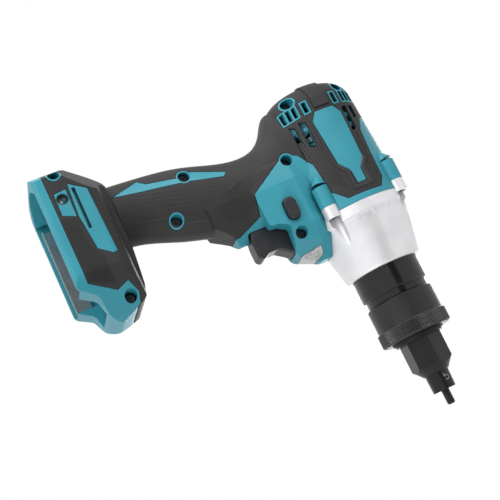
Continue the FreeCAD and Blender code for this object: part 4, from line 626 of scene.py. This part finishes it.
def size_number(material):
    """The thread size, a digit cut in the spigot in one stroke, with its top to the rear."""
    stroke = list(NUMBER_FLAG)
    for angle in map(math.radians, BOWL_ANGLES):
        stroke.append((BOWL_WIDTH * math.cos(angle), BOWL_HEIGHT + BOWL_HEIGHT * math.sin(angle)))
    points, faces = [], []
    for index, (right, up) in enumerate(stroke):
        before, after = stroke[max(index - 1, 0)], stroke[min(index + 1, len(stroke) - 1)]
        ahead = Vector((after[0] - before[0], after[1] - before[1])).normalized()
        for hand in (-1, 1):
            right_edge = right - hand * ahead.y * NUMBER_STROKE
            up_edge = up + hand * ahead.x * NUMBER_STROKE
            angle = NUMBER_ANGLE + right_edge * NUMBER_HEIGHT / SPIGOT_RADIUS
            station = NUMBER_STATION + (up_edge - 0.5) * NUMBER_HEIGHT
            points.append(around(SPIGOT_RADIUS + NUMBER_LIFT, angle, station))
        if index:
            first = len(points) - 4
            faces.append((first, first + 1, first + 3, first + 2))
    return mesh_piece("size_number", points, faces, material, "gun")


oxide_black = metal("oxide_black", (0.006, 0.005, 0.005), (0.009, 0.008, 0.008), roughness=0.3,
                    grain_scale=1200.0, grain_depth=0.00001, edge=0.0003, metallic=0.0, gloss=0.3)
finish(oxide_black, "nosepiece", "mandrel")
rolled_thread(oxide_black)
number_grey = plastic("number_grey", (0.20, 0.20, 0.21), (0.26, 0.26, 0.27), roughness=0.5,
                      grain_scale=900.0, grain_depth=0.00001, edge=0.0001)
size_number(number_grey)


# Trigger, direction lever and switch: moulded in black plastic with a faint shine. The trigger
# slides on the switch body, and the lever passes through the clamshell from side to side.
switch_black = plastic("switch_black", (0.024, 0.024, 0.027), (0.029, 0.029, 0.032), roughness=0.40,
                       grain_scale=2400.0, grain_depth=0.00002, edge=0.0008, gloss=0.25)
finish(switch_black, "trigger", "direction_lever", "switch_body")


# Lamp: a clear lens moulded with small facets on its inner face, in front of a pale reflector.
# The clamshell halves hold it below the gear housing.
FACET_SCALE = 950.0
FACET_DEPTH = 0.00015
LENS_PATCH_SCALE = 500.0


def clear_plastic(name):
    """A clear plastic, as it looks over a pale reflector, with a faceted face."""
    material, add = node_material(name)
    place = row_place(add)
    cells = add("ShaderNodeTexVoronoi", Vector=place, Scale=FACET_SCALE)
    facets = add("ShaderNodeBump", Strength=1.0, Distance=FACET_DEPTH, Height=cells.outputs["Distance"],
                 Normal=rounded_normal(add, 0.0004))
    shade = patchy(add, place, LENS_PATCH_SCALE, (0.36, 0.37, 0.38), (0.58, 0.59, 0.60))
    surface = add("ShaderNodeBsdfPrincipled", Base_Color=shade, Roughness=0.14,
                  Normal=facets.outputs["Normal"], IOR=1.49)
    add("ShaderNodeOutputMaterial", Surface=surface.outputs[0])
    return material


finish(clear_plastic("clear_plastic"), "lamp_lens")


# Drive: the pull screw with its nut and bearings, the stop ring and both planetary stages.
# They are hardened and ground steel, and run in grease inside the gear housing.
ground_steel = metal("ground_steel", (0.50, 0.50, 0.51), (0.58, 0.58, 0.59), roughness=0.28,
                     grain_scale=700.0, grain_depth=0.00002, edge=0.0002)
finish(ground_steel, "stop_ring", "pull_screw", "spindle_nut", "thrust_washer", "thrust_needle_cage",
       "spindle_bearing_inner", "spindle_bearing_outer", "ring_gear", "output_carrier", "first_carrier",
       "second_sun", "pinion")
finish(ground_steel, *[f"planet_{stage}{letter}" for stage in (1, 2) for letter in "abc"])


# Motor: rotor and stator are stacks of steel sheet, with magnets set into the rotor and copper
# coils wound on the stator. The rotor runs in two ball bearings and carries a moulded fan.
finish(ground_steel, "rotor_shaft", "rotor_core", "rotor_magnets", "stator_core", "front_bearing_inner",
       "front_bearing_outer", "rear_bearing_inner", "rear_bearing_outer")
finish(switch_black, "cooling_fan")
copper = metal("copper", (0.62, 0.26, 0.12), (0.70, 0.32, 0.15), roughness=0.35,
               grain_scale=500.0, grain_depth=0.0001, edge=0.0002)
finish(copper, "stator_coils")


# Boards and leads: glass-fibre boards under green lacquer, the control board on an aluminium
# heat sink, and stranded copper in red insulation, laid between the clamshell's ribs.
finish(cast_aluminium, "control_heat_sink")
board_green = plastic("board_green", (0.02, 0.14, 0.06), (0.025, 0.16, 0.07), roughness=0.4,
                      grain_scale=900.0, grain_depth=0.00001, edge=0.0001)
finish(board_green, "motor_sensor_board", "lamp_board", "control_board")
wire_red = plastic("wire_red", (0.42, 0.03, 0.02), (0.47, 0.04, 0.03), roughness=0.5,
                   grain_scale=900.0, grain_depth=0.00001, edge=0.0001)
finish(wire_red, "motor_leads", "battery_leads")


# Battery bay: two folded steel rails that guide the battery's shoulders, and plated blades in
# a moulded block that meet its contacts. The clamshell halves hold them in the foot.
rail_steel = metal("rail_steel", (0.62, 0.62, 0.62), (0.70, 0.70, 0.70), roughness=0.3,
                   grain_scale=600.0, grain_depth=0.00003, edge=0.0003)
finish(rail_steel, "battery_rails")
finish(ground_steel, "terminal_blades")
finish(switch_black, "terminal_block")


# Hook inserts: threaded steel bushes, pressed into the foot from both sides, for the screw that holds a belt
# hook.
# They are coloured near black as painted shade, so that the hook holes look dark.
insert_painted_shade = metal("insert_painted_shade", (0.020, 0.020, 0.021), (0.035, 0.035, 0.036), roughness=0.4,
                     grain_scale=600.0, grain_depth=0.00003, edge=0.0002, metallic=0.0, gloss=0.3)
finish(insert_painted_shade, "hook_inserts")
